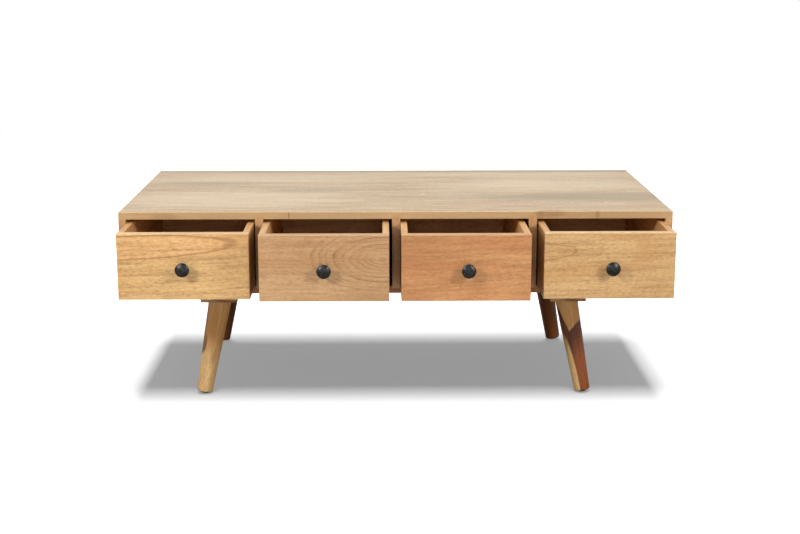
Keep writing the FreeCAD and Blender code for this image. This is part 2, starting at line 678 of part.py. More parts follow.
def make_glide(side, end):
    """A domed glide with its nail. The dome is flat where it stands on the floor."""
    label = f"foot_glide_{corner_name(side, end)}"
    body = new_body(label)
    nail_radius = "(Sizes.nail_diameter / 2)"
    points = [
        ("0", GLIDE_TIP),
        (GLIDE_RADIUS, GLIDE_EDGE),
        (GLIDE_RADIUS, "0"),
        (nail_radius, "0"),
        (nail_radius, "Sizes.nail_length - Sizes.nail_tip"),
        ("0", "Sizes.nail_length"),
    ]
    turn(body, f"{label}_dome", points, {0: "Sizes.glide_dome_radius"})
    floor = new_sketch(body, f"{label}_floor", "XZ_Plane")
    reach = "Sizes.glide_diameter"
    deep = f"{FLOOR_CROSSING} - {reach}"
    outline(
        floor,
        [
            (f"-{reach}", deep),
            (reach, deep),
            (reach, f"{FLOOR_CROSSING} + {reach} * {LEG_SLOPE}"),
            (f"-{reach}", f"{FLOOR_CROSSING} - {reach} * {LEG_SLOPE}"),
        ],
    )
    pocket(body, f"{label}_flat", floor, f"2 * {reach}", both_ways=True)
    body.setExpression("Placement", foot_placement(side, end))
    doc.recompute()
    make_node(body)


def make_leg_fasteners():
    """Hanger bolts and their threaded inserts, along the legs, and the screws of the blocks."""
    bolt_radius = "(Sizes.bolt_diameter / 2)"
    bolt = new_body("hanger_bolt")
    turn(
        bolt,
        "hanger_bolt_shank",
        [
            ("0", "-Sizes.bolt_in_leg"),
            (bolt_radius, "Sizes.bolt_tip - Sizes.bolt_in_leg"),
            (bolt_radius, "Sizes.bolt_in_block"),
            ("0", "Sizes.bolt_in_block"),
        ],
    )
    insert = new_body("insert")
    insert_hole = f"({bolt_radius} + Sizes.bolt_gap)"
    profile = rectangle((insert_hole, INSERT_RADIUS), ("Sizes.insert_recess", INSERT_END))
    turn(insert, "insert_sleeve", profile)
    screw = wood_screw(
        "block_screw", "Sizes.screw_diameter", "Sizes.screw_head_diameter", SCREW_LENGTH, "Sizes.screw_tip"
    )
    along_legs = []
    under_blocks = []
    for side, end in corners():
        x, y = leg_middle(side, end)
        along_legs.append(placement(x, y, BLOCK_UNDERSIDE, leg_rotation(side, end)))
        for dx, dy in screw_places():
            under_blocks.append(placement(f"{x} + {dx}", f"{y} + {dy}", BLOCK_UNDERSIDE))
    group("leg_bolts", bolt, along_legs)
    group("leg_inserts", insert, along_legs)
    group("block_screws", screw, under_blocks)


# Drawers


def drawer_origin(index):
    """Place of the drawer's own frame: in its bay, a little off the middle, pulled out."""
    x = f"({bay_middle(index)} + Sizes.drawer_{index}_offset_share * Sizes.drawer_{index}_play)"
    y = f"(-{HALF_DEPTH} - Sizes.drawer_{index}_pull)"
    z = f"({BAY_FLOOR} + Sizes.runner_gap)"
    return x, y, z


def drawer_half(index):
    """Half the drawer's width."""
    return f"({BAY_WIDTH} / 2 - Sizes.drawer_{index}_play)"


def drawer_inner(index):
    """Half the width between the drawer's sides."""
    return f"({drawer_half(index)} - Sizes.drawer_side_thickness)"


def place_drawer_piece(body, index):
    """Puts a piece from the drawer's own frame into its bay."""
    body.setExpression("Placement", placement(*drawer_origin(index)))
    doc.recompute()
    make_node(body)


def tail_points(gap, tip, root):
    """The lowest dovetail in the YZ plane, with a gap all round, between its tip and its root."""
    middle = f"({TAIL_PITCH} / 2)"
    return [
        (tip, f"{middle} - {TAIL_HALF_TIP} - {gap}"),
        (root, f"{middle} - {TAIL_HALF_ROOT} - {gap}"),
        (root, f"{middle} + {TAIL_HALF_ROOT} + {gap}"),
        (tip, f"{middle} + {TAIL_HALF_TIP} + {gap}"),
    ]


def make_drawer_front(index):
    label = f"drawer_{index}_front"
    half = drawer_half(index)
    body = board(label, around(half), ("0", "Sizes.drawer_front_thickness"), ("0", DRAWER_HEIGHT))
    ease(body, f"{label}_arrises", "Sizes.edge_round", lambda edge: lies_on(edge, "Y", "0"))
    for name, sign in (("left", -1), ("right", 1)):
        sketch = new_sketch(body, f"{label}_{name}_socket", "YZ_Plane", f"{sign} * {half}")
        outline(sketch, tail_points("Sizes.glue_gap", "Sizes.front_lap", "Sizes.drawer_front_thickness"))
        cut = pocket(body, f"{label}_{name}_cut", sketch, "Sizes.drawer_side_thickness", forward=sign < 0)
        repeat(body, f"{label}_{name}_sockets", cut, "V_Axis", TAIL_SPAN, TAILS)
    groove = new_sketch(body, f"{label}_groove_outline", "XZ_Plane", "-Sizes.drawer_front_thickness")
    outline(groove, rectangle(around(drawer_inner(index)), ("Sizes.bottom_groove_height", BOTTOM_TOP)))
    pocket(body, f"{label}_groove", groove, "Sizes.bottom_groove_depth", forward=True)
    hole = new_sketch(body, f"{label}_knob_circle", "XZ_Plane")
    circles(hole, [(f"Sizes.knob_{index}_shift", "Sizes.knob_rise")], KNOB_HOLE)
    pocket(body, f"{label}_knob_hole", hole, "Sizes.drawer_front_thickness")
    place_drawer_piece(body, index)


def make_drawer_side(index, name, sign):
    """A side with dovetails at the front, a groove for the bottom and a housing for the back."""
    label = f"drawer_{index}_{name}"
    inner, outer = f"{sign} * {drawer_inner(index)}", f"{sign} * {drawer_half(index)}"
    x_range = (outer, inner) if sign < 0 else (inner, outer)
    body = board(label, x_range, ("Sizes.drawer_front_thickness", DRAWER_LENGTH), ("0", DRAWER_HEIGHT))
    ease(
        body,
        f"{label}_arrises",
        "Sizes.edge_round",
        lambda edge: runs_along(edge, "Y") and lies_on(edge, "Z", DRAWER_HEIGHT),
    )
    tail = new_sketch(body, f"{label}_tail_outline", "YZ_Plane", outer)
    tip = "(Sizes.front_lap + Sizes.glue_gap)"
    outline(tail, tail_points("0", tip, "Sizes.drawer_front_thickness"))
    first = pad(body, f"{label}_tail", tail, "Sizes.drawer_side_thickness", back=sign > 0)
    repeat(body, f"{label}_tails", first, "V_Axis", TAIL_SPAN, TAILS)
    groove = new_sketch(body, f"{label}_groove_outline", "YZ_Plane", inner)
    y_range = ("0", f"{DRAWER_LENGTH} + Sizes.overrun")
    outline(groove, rectangle(y_range, ("Sizes.bottom_groove_height", BOTTOM_TOP)))
    pocket(body, f"{label}_groove", groove, "Sizes.bottom_groove_depth", forward=sign > 0)
    housing = new_sketch(body, f"{label}_housing_outline", "YZ_Plane", inner)
    z_range = (BOTTOM_TOP, f"{DRAWER_HEIGHT} + Sizes.overrun")
    outline(housing, rectangle((DRAWER_BACK_FRONT, DRAWER_BACK_REAR), z_range))
    pocket(body, f"{label}_housing", housing, "Sizes.back_housing_depth", forward=sign > 0)
    place_drawer_piece(body, index)


def bottom_screw_places(index):
    """Where the drawer bottom is screwed to the drawer back, in the drawer's own frame."""
    spaces = BOTTOM_SCREWS - 1
    span = f"(2 * ({drawer_inner(index)} - Sizes.bottom_screw_from_side))"
    steps = [f"({place} - {spaces / 2}) / {spaces}" for place in range(BOTTOM_SCREWS)]
    return [(f"{step} * {span}", DRAWER_BACK_MIDDLE) for step in steps]


def make_drawer_back(index):
    label = f"drawer_{index}_back"
    reach = f"({drawer_inner(index)} + Sizes.back_housing_depth - Sizes.glue_gap)"
    z_range = (BOTTOM_TOP, f"({DRAWER_HEIGHT} - Sizes.back_drop)")
    body = board(label, around(reach), (DRAWER_BACK_FRONT, DRAWER_BACK_REAR), z_range)
    pilots = new_sketch(body, f"{label}_pilot_circles", "XY_Plane", BOTTOM_TOP)
    circles(pilots, bottom_screw_places(index), BOTTOM_SCREW_HOLE)
    pocket(body, f"{label}_pilots", pilots, "Sizes.bottom_screw_in_back + Sizes.screw_gap", forward=True)
    place_drawer_piece(body, index)


def make_drawer_bottom(index):
    label = f"drawer_{index}_bottom"
    y_range = (f"Sizes.drawer_front_thickness - {BOTTOM_REACH}", DRAWER_BACK_REAR)
    z_range = ("Sizes.bottom_groove_height", BOTTOM_TOP)
    body = board(label, around(f"({drawer_inner(index)} + {BOTTOM_REACH})"), y_range, z_range)
    sketch = new_sketch(body, f"{label}_screw_circles", "XY_Plane", z_range[0])
    circles(sketch, bottom_screw_places(index), BOTTOM_SCREW_HOLE)
    head = "Sizes.bottom_screw_head_diameter"
    countersunk_holes(body, f"{label}_screw_holes", sketch, BOTTOM_SCREW_HOLE, head)
    place_drawer_piece(body, index)


def make_bottom_screws(index, screw):
    """The row of screws that holds a drawer's bottom up to its back."""
    origin_x, origin_y, origin_z = drawer_origin(index)
    z = f"{origin_z} + Sizes.bottom_groove_height"
    placements = []
    for x, y in bottom_screw_places(index):
        placements.append(placement(f"{origin_x} + {x}", f"{origin_y} + {y}", z))
    group(f"drawer_{index}_bottom_screws", screw, placements)


def place_on_front(body, index):
    """Puts a turned piece on the knob's axis, its own Z pointing out of the drawer front."""
    x, y, z = drawer_origin(index)
    along = f"{x} + Sizes.knob_{index}_shift"
    body.setExpression("Placement", placement(along, y, f"{z} + Sizes.knob_rise", "rotationx(90)"))
    doc.recompute()
    make_node(body)


def make_knob(index):
    """A domed knob on a waisted neck, with a threaded hole from behind."""
    label = f"drawer_{index}_knob"
    body = new_body(label)
    hole = "(Sizes.knob_screw_diameter / 2 + Sizes.knob_screw_gap)"
    hole_end = "(Sizes.knob_screw_depth + Sizes.knob_screw_gap)"
    neck = "(Sizes.knob_neck_diameter / 2)"
    points = [
        ("0", hole_end),
        (hole, hole_end),
        (hole, "0"),
        ("Sizes.knob_base_diameter / 2", "0"),
        ("Sizes.knob_base_diameter / 2", "Sizes.knob_base_thickness"),
        (neck, "Sizes.knob_base_thickness + Sizes.knob_base_taper"),
        (neck, KNOB_NECK_TOP),
        (KNOB_RADIUS, KNOB_RIM_BASE),
        (KNOB_RADIUS, KNOB_RIM_TOP),
        ("0", "Sizes.knob_length"),
    ]
    dome = points.index((KNOB_RADIUS, KNOB_RIM_TOP))
    turn(body, f"{label}_turned", points, {dome: KNOB_DOME_RADIUS})
    ease(
        body,
        f"{label}_rim",
        "Sizes.knob_rim_round",
        lambda edge: lies_on(edge, "Z", KNOB_RIM_TOP) or lies_on(edge, "Z", KNOB_RIM_BASE),
    )
    place_on_front(body, index)


def make_knob_screw(index):
    label = f"drawer_{index}_knob_screw"
    body = new_body(label)
    head = "-Sizes.drawer_front_thickness"
    points = [
        ("0", f"{head} - Sizes.knob_screw_head_height"),
        ("Sizes.knob_screw_head_diameter / 2", f"{head} - Sizes.knob_screw_head_height"),
        ("Sizes.knob_screw_head_diameter / 2", head),
        ("Sizes.knob_screw_diameter / 2", head),
        ("Sizes.knob_screw_diameter / 2", "Sizes.knob_screw_depth"),
        ("0", "Sizes.knob_screw_depth"),
    ]
    turn(body, f"{label}_turned", points)
    place_on_front(body, index)


def make_drawer(index, screw):
    make_drawer_front(index)
    make_drawer_side(index, "left", -1)
    make_drawer_side(index, "right", 1)
    make_drawer_back(index)
    make_drawer_bottom(index)
    make_bottom_screws(index, screw)
    make_knob(index)
    make_knob_screw(index)


def make_stops():
    """Two blocks at the back of each bay, which a closed drawer meets."""
    half = "(Sizes.stop_width / 2)"
    length = "Sizes.drawer_back_gap - Sizes.stop_gap"
    stop = board("stop", around(half), (f"-({length})", "0"), ("0", "Sizes.stop_height"))
    placements = []
    for index in range(1, BAYS + 1):
        reach = f"({BAY_WIDTH} / 2 - Sizes.stop_from_side - {half})"
        for sign in (-1, 1):
            placements.append(placement(f"{bay_middle(index)} + {sign} * {reach}", BACK_FACE, BAY_FLOOR))
    group("drawer_stops", stop, placements)


def check_everything():
    """Stops the build if any object of the document failed."""
    for thing in doc.Objects:
        if "Invalid" in thing.State or "Error" in thing.State:
            raise RuntimeError(f"{thing.Label} failed: {thing.State}")
    for piece in nodes:
        if piece.Shape.isNull() or not piece.Shape.isValid() or not piece.Shape.Solids:
            raise RuntimeError(f"{piece.Label} has no valid solid")


def write_nodes():
    os.makedirs("parts", exist_ok=True)
    for piece in nodes:
        piece.Shape.exportStep(f"parts/{piece.Label}.step")


make_top()
make_bottom()
make_side("side_left", -1)
make_side("side_right", 1)
for divider in range(1, BAYS):
    make_divider(divider)
make_back()
make_dowels()
for side, end in corners():
    make_block(side, end)
    make_leg(side, end)
    make_glide(side, end)
make_leg_fasteners()
bottom_screw = wood_screw(
    "bottom_screw",
    "Sizes.bottom_screw_diameter",
    "Sizes.bottom_screw_head_diameter",
    BOTTOM_SCREW_LENGTH,
    "Sizes.bottom_screw_tip",
)
for drawer in range(1, BAYS + 1):
    make_drawer(drawer, bottom_screw)
make_stops()
doc.recompute()
check_everything()
write_nodes()
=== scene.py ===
import json
import math

import bpy
from mathutils import Color, Matrix, Vector


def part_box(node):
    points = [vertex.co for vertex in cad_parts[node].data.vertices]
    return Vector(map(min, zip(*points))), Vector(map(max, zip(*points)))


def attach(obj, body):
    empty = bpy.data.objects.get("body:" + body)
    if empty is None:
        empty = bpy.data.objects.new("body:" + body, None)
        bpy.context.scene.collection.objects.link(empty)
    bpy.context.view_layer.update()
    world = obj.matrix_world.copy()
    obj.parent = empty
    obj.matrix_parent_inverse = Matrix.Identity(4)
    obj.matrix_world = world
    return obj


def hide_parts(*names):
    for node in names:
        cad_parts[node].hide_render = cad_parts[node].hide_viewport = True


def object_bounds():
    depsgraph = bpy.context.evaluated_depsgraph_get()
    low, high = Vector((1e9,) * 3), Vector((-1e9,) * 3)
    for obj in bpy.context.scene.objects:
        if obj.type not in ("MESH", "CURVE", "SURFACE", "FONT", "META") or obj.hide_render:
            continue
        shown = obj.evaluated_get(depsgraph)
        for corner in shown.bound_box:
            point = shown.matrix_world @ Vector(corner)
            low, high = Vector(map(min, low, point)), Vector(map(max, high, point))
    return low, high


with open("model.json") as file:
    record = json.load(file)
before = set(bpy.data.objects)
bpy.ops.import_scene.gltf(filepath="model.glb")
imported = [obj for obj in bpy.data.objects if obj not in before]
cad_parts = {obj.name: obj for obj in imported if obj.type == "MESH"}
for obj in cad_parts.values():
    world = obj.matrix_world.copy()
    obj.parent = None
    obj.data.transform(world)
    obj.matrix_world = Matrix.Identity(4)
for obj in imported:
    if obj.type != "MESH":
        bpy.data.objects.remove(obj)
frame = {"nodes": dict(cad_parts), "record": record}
cad_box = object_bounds()

bl_info = {
    "name": "Coffee table with drawers",
    "version": (1, 0, 0),
    "blender": (4, 5, 0),
    "location": "3D View > Sidebar > Table",
    "description": "Dresses the packed coffee table in solid wood and dark metal and sets up its studio",
    "category": "Object",
}

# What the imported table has
DRAWERS = (1, 2, 3, 4)
CORNERS = ("front_left", "front_right", "back_left", "back_right")
UPRIGHTS = ("side_left", "side_right", "divider_1", "divider_2", "divider_3")
# Directions, and the axes and ends of a box
RIGHT = Vector((1.0, 0.0, 0.0))
BACKWARD = Vector((0.0, 1.0, 0.0))
UP = Vector((0.0, 0.0, 1.0))
X, Y, Z = 0, 1, 2
LOWEST, HIGHEST = 0, 1
# The largest number in a screen's colours
SCREEN_FULL = 255


# Properties, written shorter
def shade(red, green, blue):
    """A colour as a screen shows it, from 0 to 255, as the linear numbers that Blender keeps."""
    parts = Color((red / SCREEN_FULL, green / SCREEN_FULL, blue / SCREEN_FULL))
    return tuple(parts.from_srgb_to_scene_linear())


def colour(name, description, red, green, blue):
    return bpy.props.FloatVectorProperty(
        name=name,
        description=description,
        default=shade(red, green, blue),
        subtype="COLOR",
        size=3,
        min=0.0,
        max=1.0,
    )


def number(name, description, default, **kind):
    return bpy.props.FloatProperty(name=name, description=description, default=default, **kind)


def length(name, description, default):
    return number(name, description, default, unit="LENGTH", min=0.0, precision=4)


def share(name, description, default):
    return number(name, description, default, subtype="FACTOR", min=0.0, max=1.0)


def angle(name, description, default):
    return number(name, description, default, subtype="ANGLE")


def power(name, description, default):
    return number(name, description, default, unit="POWER", min=0.0)


def pointer(kind, name, description):
    return bpy.props.PointerProperty(type=kind, name=name, description=description)


class TopSettings(bpy.types.PropertyGroup):
    """The table top's wood."""

    pale: colour("Pale wood", "Lighter wood of the top", 228, 208, 170)
    warm: colour("Warm wood", "Pinkish wood of the top", 220, 194, 156)
    dark: colour("Dark grain", "Grain lines and pores of the top", 150, 108, 66)
    grey: colour("Grey band", "Greyish bands across the top's staves", 160, 142, 112)
    # Painted light on the top's front edge, lighter and more golden than the top's own wood
    edge: colour("Front edge", "Golden wood along the top's front edge", 232, 198, 142)
    light: colour("Light patch", "Lightest wood of the top", 240, 220, 185)
    stave_width: length("Stave width", "Width of the glued staves of the top", 0.0857)
    stave_length: length("Stave length", "Length of the glued staves of the top", 2.6)


class FrontSettings(bpy.types.PropertyGroup):
    """Wood of the four drawer fronts, from left to right."""

    pale_1: colour("Front 1 pale", "Lighter wood of the first front", 232, 189, 127)
    warm_1: colour("Front 1 warm", "Warmer wood of the first front", 222, 175, 111)
    heart_1: colour("Front 1 heart", "Wood inside the figure of the first front", 240, 185, 123)
    pale_2: colour("Front 2 pale", "Lighter wood of the second front", 208, 166, 119)
    warm_2: colour("Front 2 warm", "Warmer wood of the second front", 198, 152, 105)
    pale_3: colour("Front 3 pale", "Lighter wood of the third front", 214, 154, 100)
    warm_3: colour("Front 3 warm", "Warmer wood of the third front", 204, 139, 87)
    pale_4: colour("Front 4 pale", "Lighter wood of the fourth front", 220, 179, 122)
    warm_4: colour("Front 4 warm", "Warmer wood of the fourth front", 210, 164, 106)
    heart_4: colour("Front 4 heart", "Wood inside the figure of the fourth front", 218, 174, 116)
    dark: colour("Dark grain", "Grain lines and pores of the fronts", 140, 90, 46)
    # Painted highlight along the fronts' upper edges, where the lamps catch them
    rim: colour("Upper edge", "Fresh wood along the fronts' upper edges", 250, 218, 168)


class CarcassSettings(bpy.types.PropertyGroup):
    """Wood of the carcass and of the drawer boxes."""

    frame_pale: colour("Carcass pale", "Lighter wood of sides, dividers, bottom and back", 204, 160, 110)
    frame_warm: colour("Carcass warm", "Warmer wood of the same boards", 190, 142, 92)
    frame_dark: colour("Carcass grain", "Grain lines of the same boards", 136, 90, 50)
    # Painted shade low on the carcass's front edges, where the drawers shade them
    frame_edge_shade: colour("Carcass edge", "Darker wood low on the carcass's front edges", 146, 84, 34)
    box_pale: colour("Drawer box pale", "Lighter wood of the drawers' sides and backs", 236, 186, 126)
    box_warm: colour("Drawer box warm", "Warmer wood of the drawers' sides and backs", 226, 170, 110)
    # The drawer boxes' grain colour also paints shade on the drawers' outer side faces
    box_dark: colour("Drawer box grain", "Grain lines of the drawers' sides and backs", 142, 98, 58)
    ply_pale: colour("Drawer bottom pale", "Lighter veneer of the drawers' bottoms", 224, 190, 144)
    ply_dark: colour("Drawer bottom grain", "Grain of the drawers' bottoms", 150, 110, 70)
    stave_width: length("Stave width", "Width of the glued staves of the carcass", 0.1)


class LegSettings(bpy.types.PropertyGroup):
    """Wood of the legs and of the blocks above them."""

    sap_pale: colour("Sapwood pale", "Lighter sapwood of the front legs", 238, 200, 142)
    sap_warm: colour("Sapwood warm", "Warmer sapwood of the front legs", 227, 183, 121)
    heart_pale: colour("Heartwood pale", "Lighter heartwood of the front legs and the blocks", 149, 78, 26)
    heart_warm: colour("Heartwood warm", "Darker heartwood of the right front leg", 115, 57, 20)
    heart_bright: colour("Heartwood bright", "Orange heartwood low on the right front leg", 170, 86, 26)
    back_pale: colour("Back leg pale", "Lighter wood of the back legs", 144, 82, 28)
    back_warm: colour("Back leg warm", "Darker wood of the back legs", 114, 62, 20)
    # Painted warm shade high on the front legs, where the drawers shadow them
    glow: colour("Upper sapwood", "Warmer sapwood high on the front legs", 212, 140, 50)
    dark: colour("Dark grain", "Grain lines and dark heartwood of the legs", 78, 44, 24)


class MetalSettings(bpy.types.PropertyGroup):
    """Knobs, screws, inserts and glides."""

    knob: colour("Knob", "Dark metal of the knobs", 53, 54, 54)
    knob_worn: colour("Knob worn", "Metal where hands have rubbed the knobs", 75, 74, 72)
    steel: colour("Steel", "Screws and bolts", 176, 176, 172)
    steel_dull: colour("Steel dull", "Duller patches on screws and bolts", 128, 126, 120)
    brass: colour("Brass", "Threaded inserts in the blocks", 196, 160, 92)
    brass_dull: colour("Brass dull", "Duller patches on the inserts", 150, 116, 62)
    glide: colour("Glide", "Hard plastic under the feet", 44, 40, 36)


class ScrewSettings(bpy.types.PropertyGroup):
    """Sizes of the screws."""

    block_head: length("Block screw head", "Diameter of the block screws' heads", 0.009)
    block_shank: length("Block screw shank", "Diameter of the block screws", 0.0045)
    block_tip: length("Block screw tip", "Pointed part of the block screws", 0.005)
    block_from_edge: length("Block screw from edge", "Distance of the screws from the block's edges", 0.012)
    bottom_head: length("Bottom screw head", "Diameter of the drawer bottom screws' heads", 0.006)
    bottom_shank: length("Bottom screw shank", "Diameter of the drawer bottom screws", 0.003)
    bottom_tip: length("Bottom screw tip", "Pointed part of the drawer bottom screws", 0.003)
    bottom_count: bpy.props.IntProperty(
        name="Bottom screws", description="Screws that hold each drawer bottom to its back", default=3, min=2
    )
    knob_head: length("Knob screw head", "Diameter of the knob screws' heads", 0.008)
    knob_head_height: length("Knob screw head height", "Height of the knob screws' heads", 0.0026)
    knob_shank: length("Knob screw shank", "Diameter of the knob screws", 0.004)


class StageSettings(bpy.types.PropertyGroup):
    """Camera, lamps, background and floor."""

    camera_place: bpy.props.FloatVectorProperty(
        name="Camera place",
        description="Where the camera stands",
        default=(-0.0299, -3.2825, 0.9682),
        subtype="TRANSLATION",
        unit="LENGTH",
    )
    camera_turn: angle("Camera turn", "How far the camera looks to the right of straight ahead", 0.0128)
    camera_tilt: angle("Camera tilt", "How far the camera looks down", 0.2180)
    camera_roll: angle("Camera roll", "How far the camera leans", -0.0002)
    focal_length: number("Focal length", "Focal length of the camera", 63.1, unit="CAMERA", min=1.0)
    key_power: power("Front lamp power", "Power of each of the two front lamps", 31.5)
    key_size: length("Front lamp size", "Side of the front lamps", 0.42)
    key_across: length("Front lamp across", "How far the front lamps stand to each side", 1.75)
    key_aim: length("Front lamp aim", "How far to its own side each front lamp is aimed", 0.45)
    key_ahead: length("Front lamp ahead", "How far the front lamps stand before the table's middle", 1.9)
    key_height: length("Front lamp height", "Height of the front lamps", 1.5)
    top_power: power("Top lamp power", "Power of the lamp above the table", 26.0)
    top_size: length("Top lamp size", "Side of the lamp above the table", 0.9)
    top_height: length("Top lamp height", "Height of the lamp above the floor", 3.4)
    top_behind: length("Top lamp behind", "How far that lamp hangs behind the table's middle", 0.5)
    fill_power: power("Fill lamp power", "Power of the weak, low lamp at the front", 8.5)
    fill_size: length("Fill lamp size", "Side of the low lamp", 0.6)
    fill_ahead: length("Fill lamp ahead", "How far the low lamp stands before the table's middle", 3.2)
    fill_height: length("Fill lamp height", "Height of the low lamp", 0.95)
    backdrop: share("Backdrop", "Light that shiny surfaces mirror from behind the table", 1.0)
    shadow_power: power("Shadow lamp power", "Power of the lamp that lays the shadow on the floor", 4650.0)
    shadow_width: length("Shadow lamp width", "Side of that lamp from left to right", 3.1)
    shadow_depth: length("Shadow lamp depth", "Side of that lamp from front to back", 10.2)
    shadow_height: length("Shadow lamp height", "Height of that lamp above the floor", 10.0)
    shadow_left: length("Shadow lamp left", "How far that lamp hangs to the left of the table's middle", 0.22)
    sky: share("Sky fill", "Light that comes from all around", 0.46)
    floor_size: length("Floor size", "Side of the floor", 9.0)
    floor_share: share("Floor brightness", "Share of the light that the floor shows the camera", 0.35)
    floor_bounce: share("Floor bounce", "Share of the light that the floor throws up at the table", 0.12)
    floor_lift: share("Floor lift", "White that the camera sees on the floor besides its light", 0.272)


class TableSettings(bpy.types.PropertyGroup):
    """All settings of the table."""

    top: pointer(TopSettings, "Top", "The table top's wood")
    fronts: pointer(FrontSettings, "Fronts", "The drawer fronts' wood")
    carcass: pointer(CarcassSettings, "Carcass", "The other boards")
    legs: pointer(LegSettings, "Legs", "The legs' wood")
    metal: pointer(MetalSettings, "Metal", "Knobs and fasteners")
    screws: pointer(ScrewSettings, "Screws", "The screws' sizes")
    stage: pointer(StageSettings, "Stage", "Camera, lamps, floor")


# Node trees, wired a node at a time
class Wiring:
    """A node tree. Sockets that are given are linked, and numbers are written into the input."""

    def __init__(self, tree):
        self.tree = tree

    def feed(self, socket, value):
        if isinstance(value, bpy.types.NodeSocket):
            self.tree.links.new(value, socket)
        else:
            socket.default_value = value

    def node(self, kind, inputs, **settings):
        node = self.tree.nodes.new(kind)
        for name, value in settings.items():
            setattr(node, name, value)
        for name, value in inputs.items():
            self.feed(node.inputs[name], value)
        return node

    def out(self, kind, inputs, **settings):
        """The first output of a new node."""
        return self.node(kind, inputs, **settings).outputs[0]

    def math(self, operation, first, second=0.0, third=0.0):
        inputs = {0: first, 1: second, 2: third}
        return self.out("ShaderNodeMath", inputs, operation=operation)

    def plus(self, first, second):
        return self.math("ADD", first, second)

    def minus(self, first, second):
        return self.math("SUBTRACT", first, second)

    def times(self, first, second):
        return self.math("MULTIPLY", first, second)

    def times_plus(self, first, second, third):
        return self.math("MULTIPLY_ADD", first, second, third)

    def vector(self, operation, first, second=(0.0, 0.0, 0.0)):
        return self.out("ShaderNodeVectorMath", {0: first, 1: second}, operation=operation)

    def parts(self, vector):
        return self.node("ShaderNodeSeparateXYZ", {0: vector}).outputs

    def joined(self, x, y, z):
        return self.out("ShaderNodeCombineXYZ", {0: x, 1: y, 2: z})

    def noise(self, vector, seed, detail=2.0):
        """Noise from 0 to 1 over the vector, another one for each seed."""
        inputs = {"Vector": vector, "W": seed, "Scale": 1.0, "Detail": detail}
        return self.out("ShaderNodeTexNoise", inputs, noise_dimensions="4D")

    def centred(self, noise):
        """Noise from -0.5 to 0.5."""
        return self.minus(noise, 0.5)

    def line_noise(self, along):
        """Noise from 0 to 1 along one number."""
        inputs = {"W": along, "Scale": 1.0, "Detail": 2.0}
        return self.out("ShaderNodeTexNoise", inputs, noise_dimensions="1D")

    def ramp(self, value, low, high):
        """From 0 at low to 1 at high, smoothly."""
        inputs = {"Value": value, "From Min": low, "From Max": high}
        return self.out("ShaderNodeMapRange", inputs, interpolation_type="SMOOTHSTEP")

    def mix(self, amount, first, second):
        """The first colour where the amount is 0 and the second where it is 1."""
        # Sockets 6 and 7 take the node's two colours, and socket 2 gives the mixed one
        inputs = {0: amount, 6: first, 7: second}
        return self.node("ShaderNodeMix", inputs, data_type="RGBA").outputs[2]

    def group(self, name, inputs):
        """A node of a shared group."""
        return self.node("ShaderNodeGroup", inputs, node_tree=group_tree(name)).outputs

    def place(self):
        """Where a point is on the object."""
        return self.node("ShaderNodeTexCoord", {}).outputs["Object"]


def solid(colour_value):
    """A property's colour with the fourth number that a socket takes."""
    return (*colour_value, 1.0)


SOCKETS = {"number": "NodeSocketFloat", "colour": "NodeSocketColor", "vector": "NodeSocketVector"}


def new_group(name, inputs, outputs):
    """A shader node group with named sockets: its wiring, what it is given and what it puts out."""
    tree = bpy.data.node_groups.new(name, "ShaderNodeTree")
    for label, kind in inputs.items():
        tree.interface.new_socket(label, in_out="INPUT", socket_type=SOCKETS[kind])
    for label, kind in outputs.items():
        tree.interface.new_socket(label, in_out="OUTPUT", socket_type=SOCKETS[kind])
    given = tree.nodes.new("NodeGroupInput").outputs
    result = tree.nodes.new("NodeGroupOutput").inputs
    return Wiring(tree), given, result


# Wood grain
# Each noise of the grain: how often it repeats in a metre, along the grain and across it, and its detail
GRAIN_NOISES = {
    "waver": (3.5, 16.0, 2.0),
    "ripple": (20.0, 75.0, 2.0),
    "patch": (2.2, 15.0, 3.0),
    "fade": (9.0, 45.0, 2.0),
    "streak": (7.0, 170.0, 3.0),
    "fleck": (120.0, 330.0, 2.0),
    "mottle": (90.0, 240.0, 2.0),
    "pore": (75.0, 1700.0, 1.0),
}
# Between which levels of its noise each part of the grain comes in
GRAIN_LEVELS = {
    "patch": (0.3, 0.7),
    "fade": (0.3, 0.65),
    "streak": (0.38, 0.72),
    "fleck": (0.45, 0.75),
    "mottle": (0.3, 0.7),
    "pore": (0.58, 0.7),
}
# What most boards share; a board's own values come on top
PLAIN_GRAIN = {
    "Seed": 0.0,
    "Heart along": -0.6,
    "Heart across": 0.0,
    "Heart slope": 0.09,
    "Heart radius": 0.001,
    "Heart strength": 0.0,
    "Heart line": 0.0,
    "Ring width": 0.009,
    "Ring waver": 0.03,
    "Ring strength": 0.3,
    "Ring reach": 10.0,
    "Patch strength": 0.9,
    "Streak strength": 0.24,
    "Pore strength": 0.3,
    "Roughness": 0.46,
}
GRAIN_INPUTS = {
    "Vector": "vector",
    **dict.fromkeys(("Pale", "Warm", "Dark", "Heart"), "colour"),
    **dict.fromkeys(PLAIN_GRAIN, "number"),
}
GRAIN_OUTPUTS = {"Colour": "colour", "Roughness": "number", "Height": "number"}


def grain_noise(wires, given, name):
    """One of the grain's noises, drawn out along the grain."""
    along, across, detail = GRAIN_NOISES[name]
    stretched = wires.vector("MULTIPLY", given["Vector"], (along, across, across))
    return wires.noise(stretched, given["Seed"], detail)


def grain_level(wires, given, name):
    """How far a part of the grain has come in, from 0 to 1."""
    return wires.ramp(grain_noise(wires, given, name), *GRAIN_LEVELS[name])


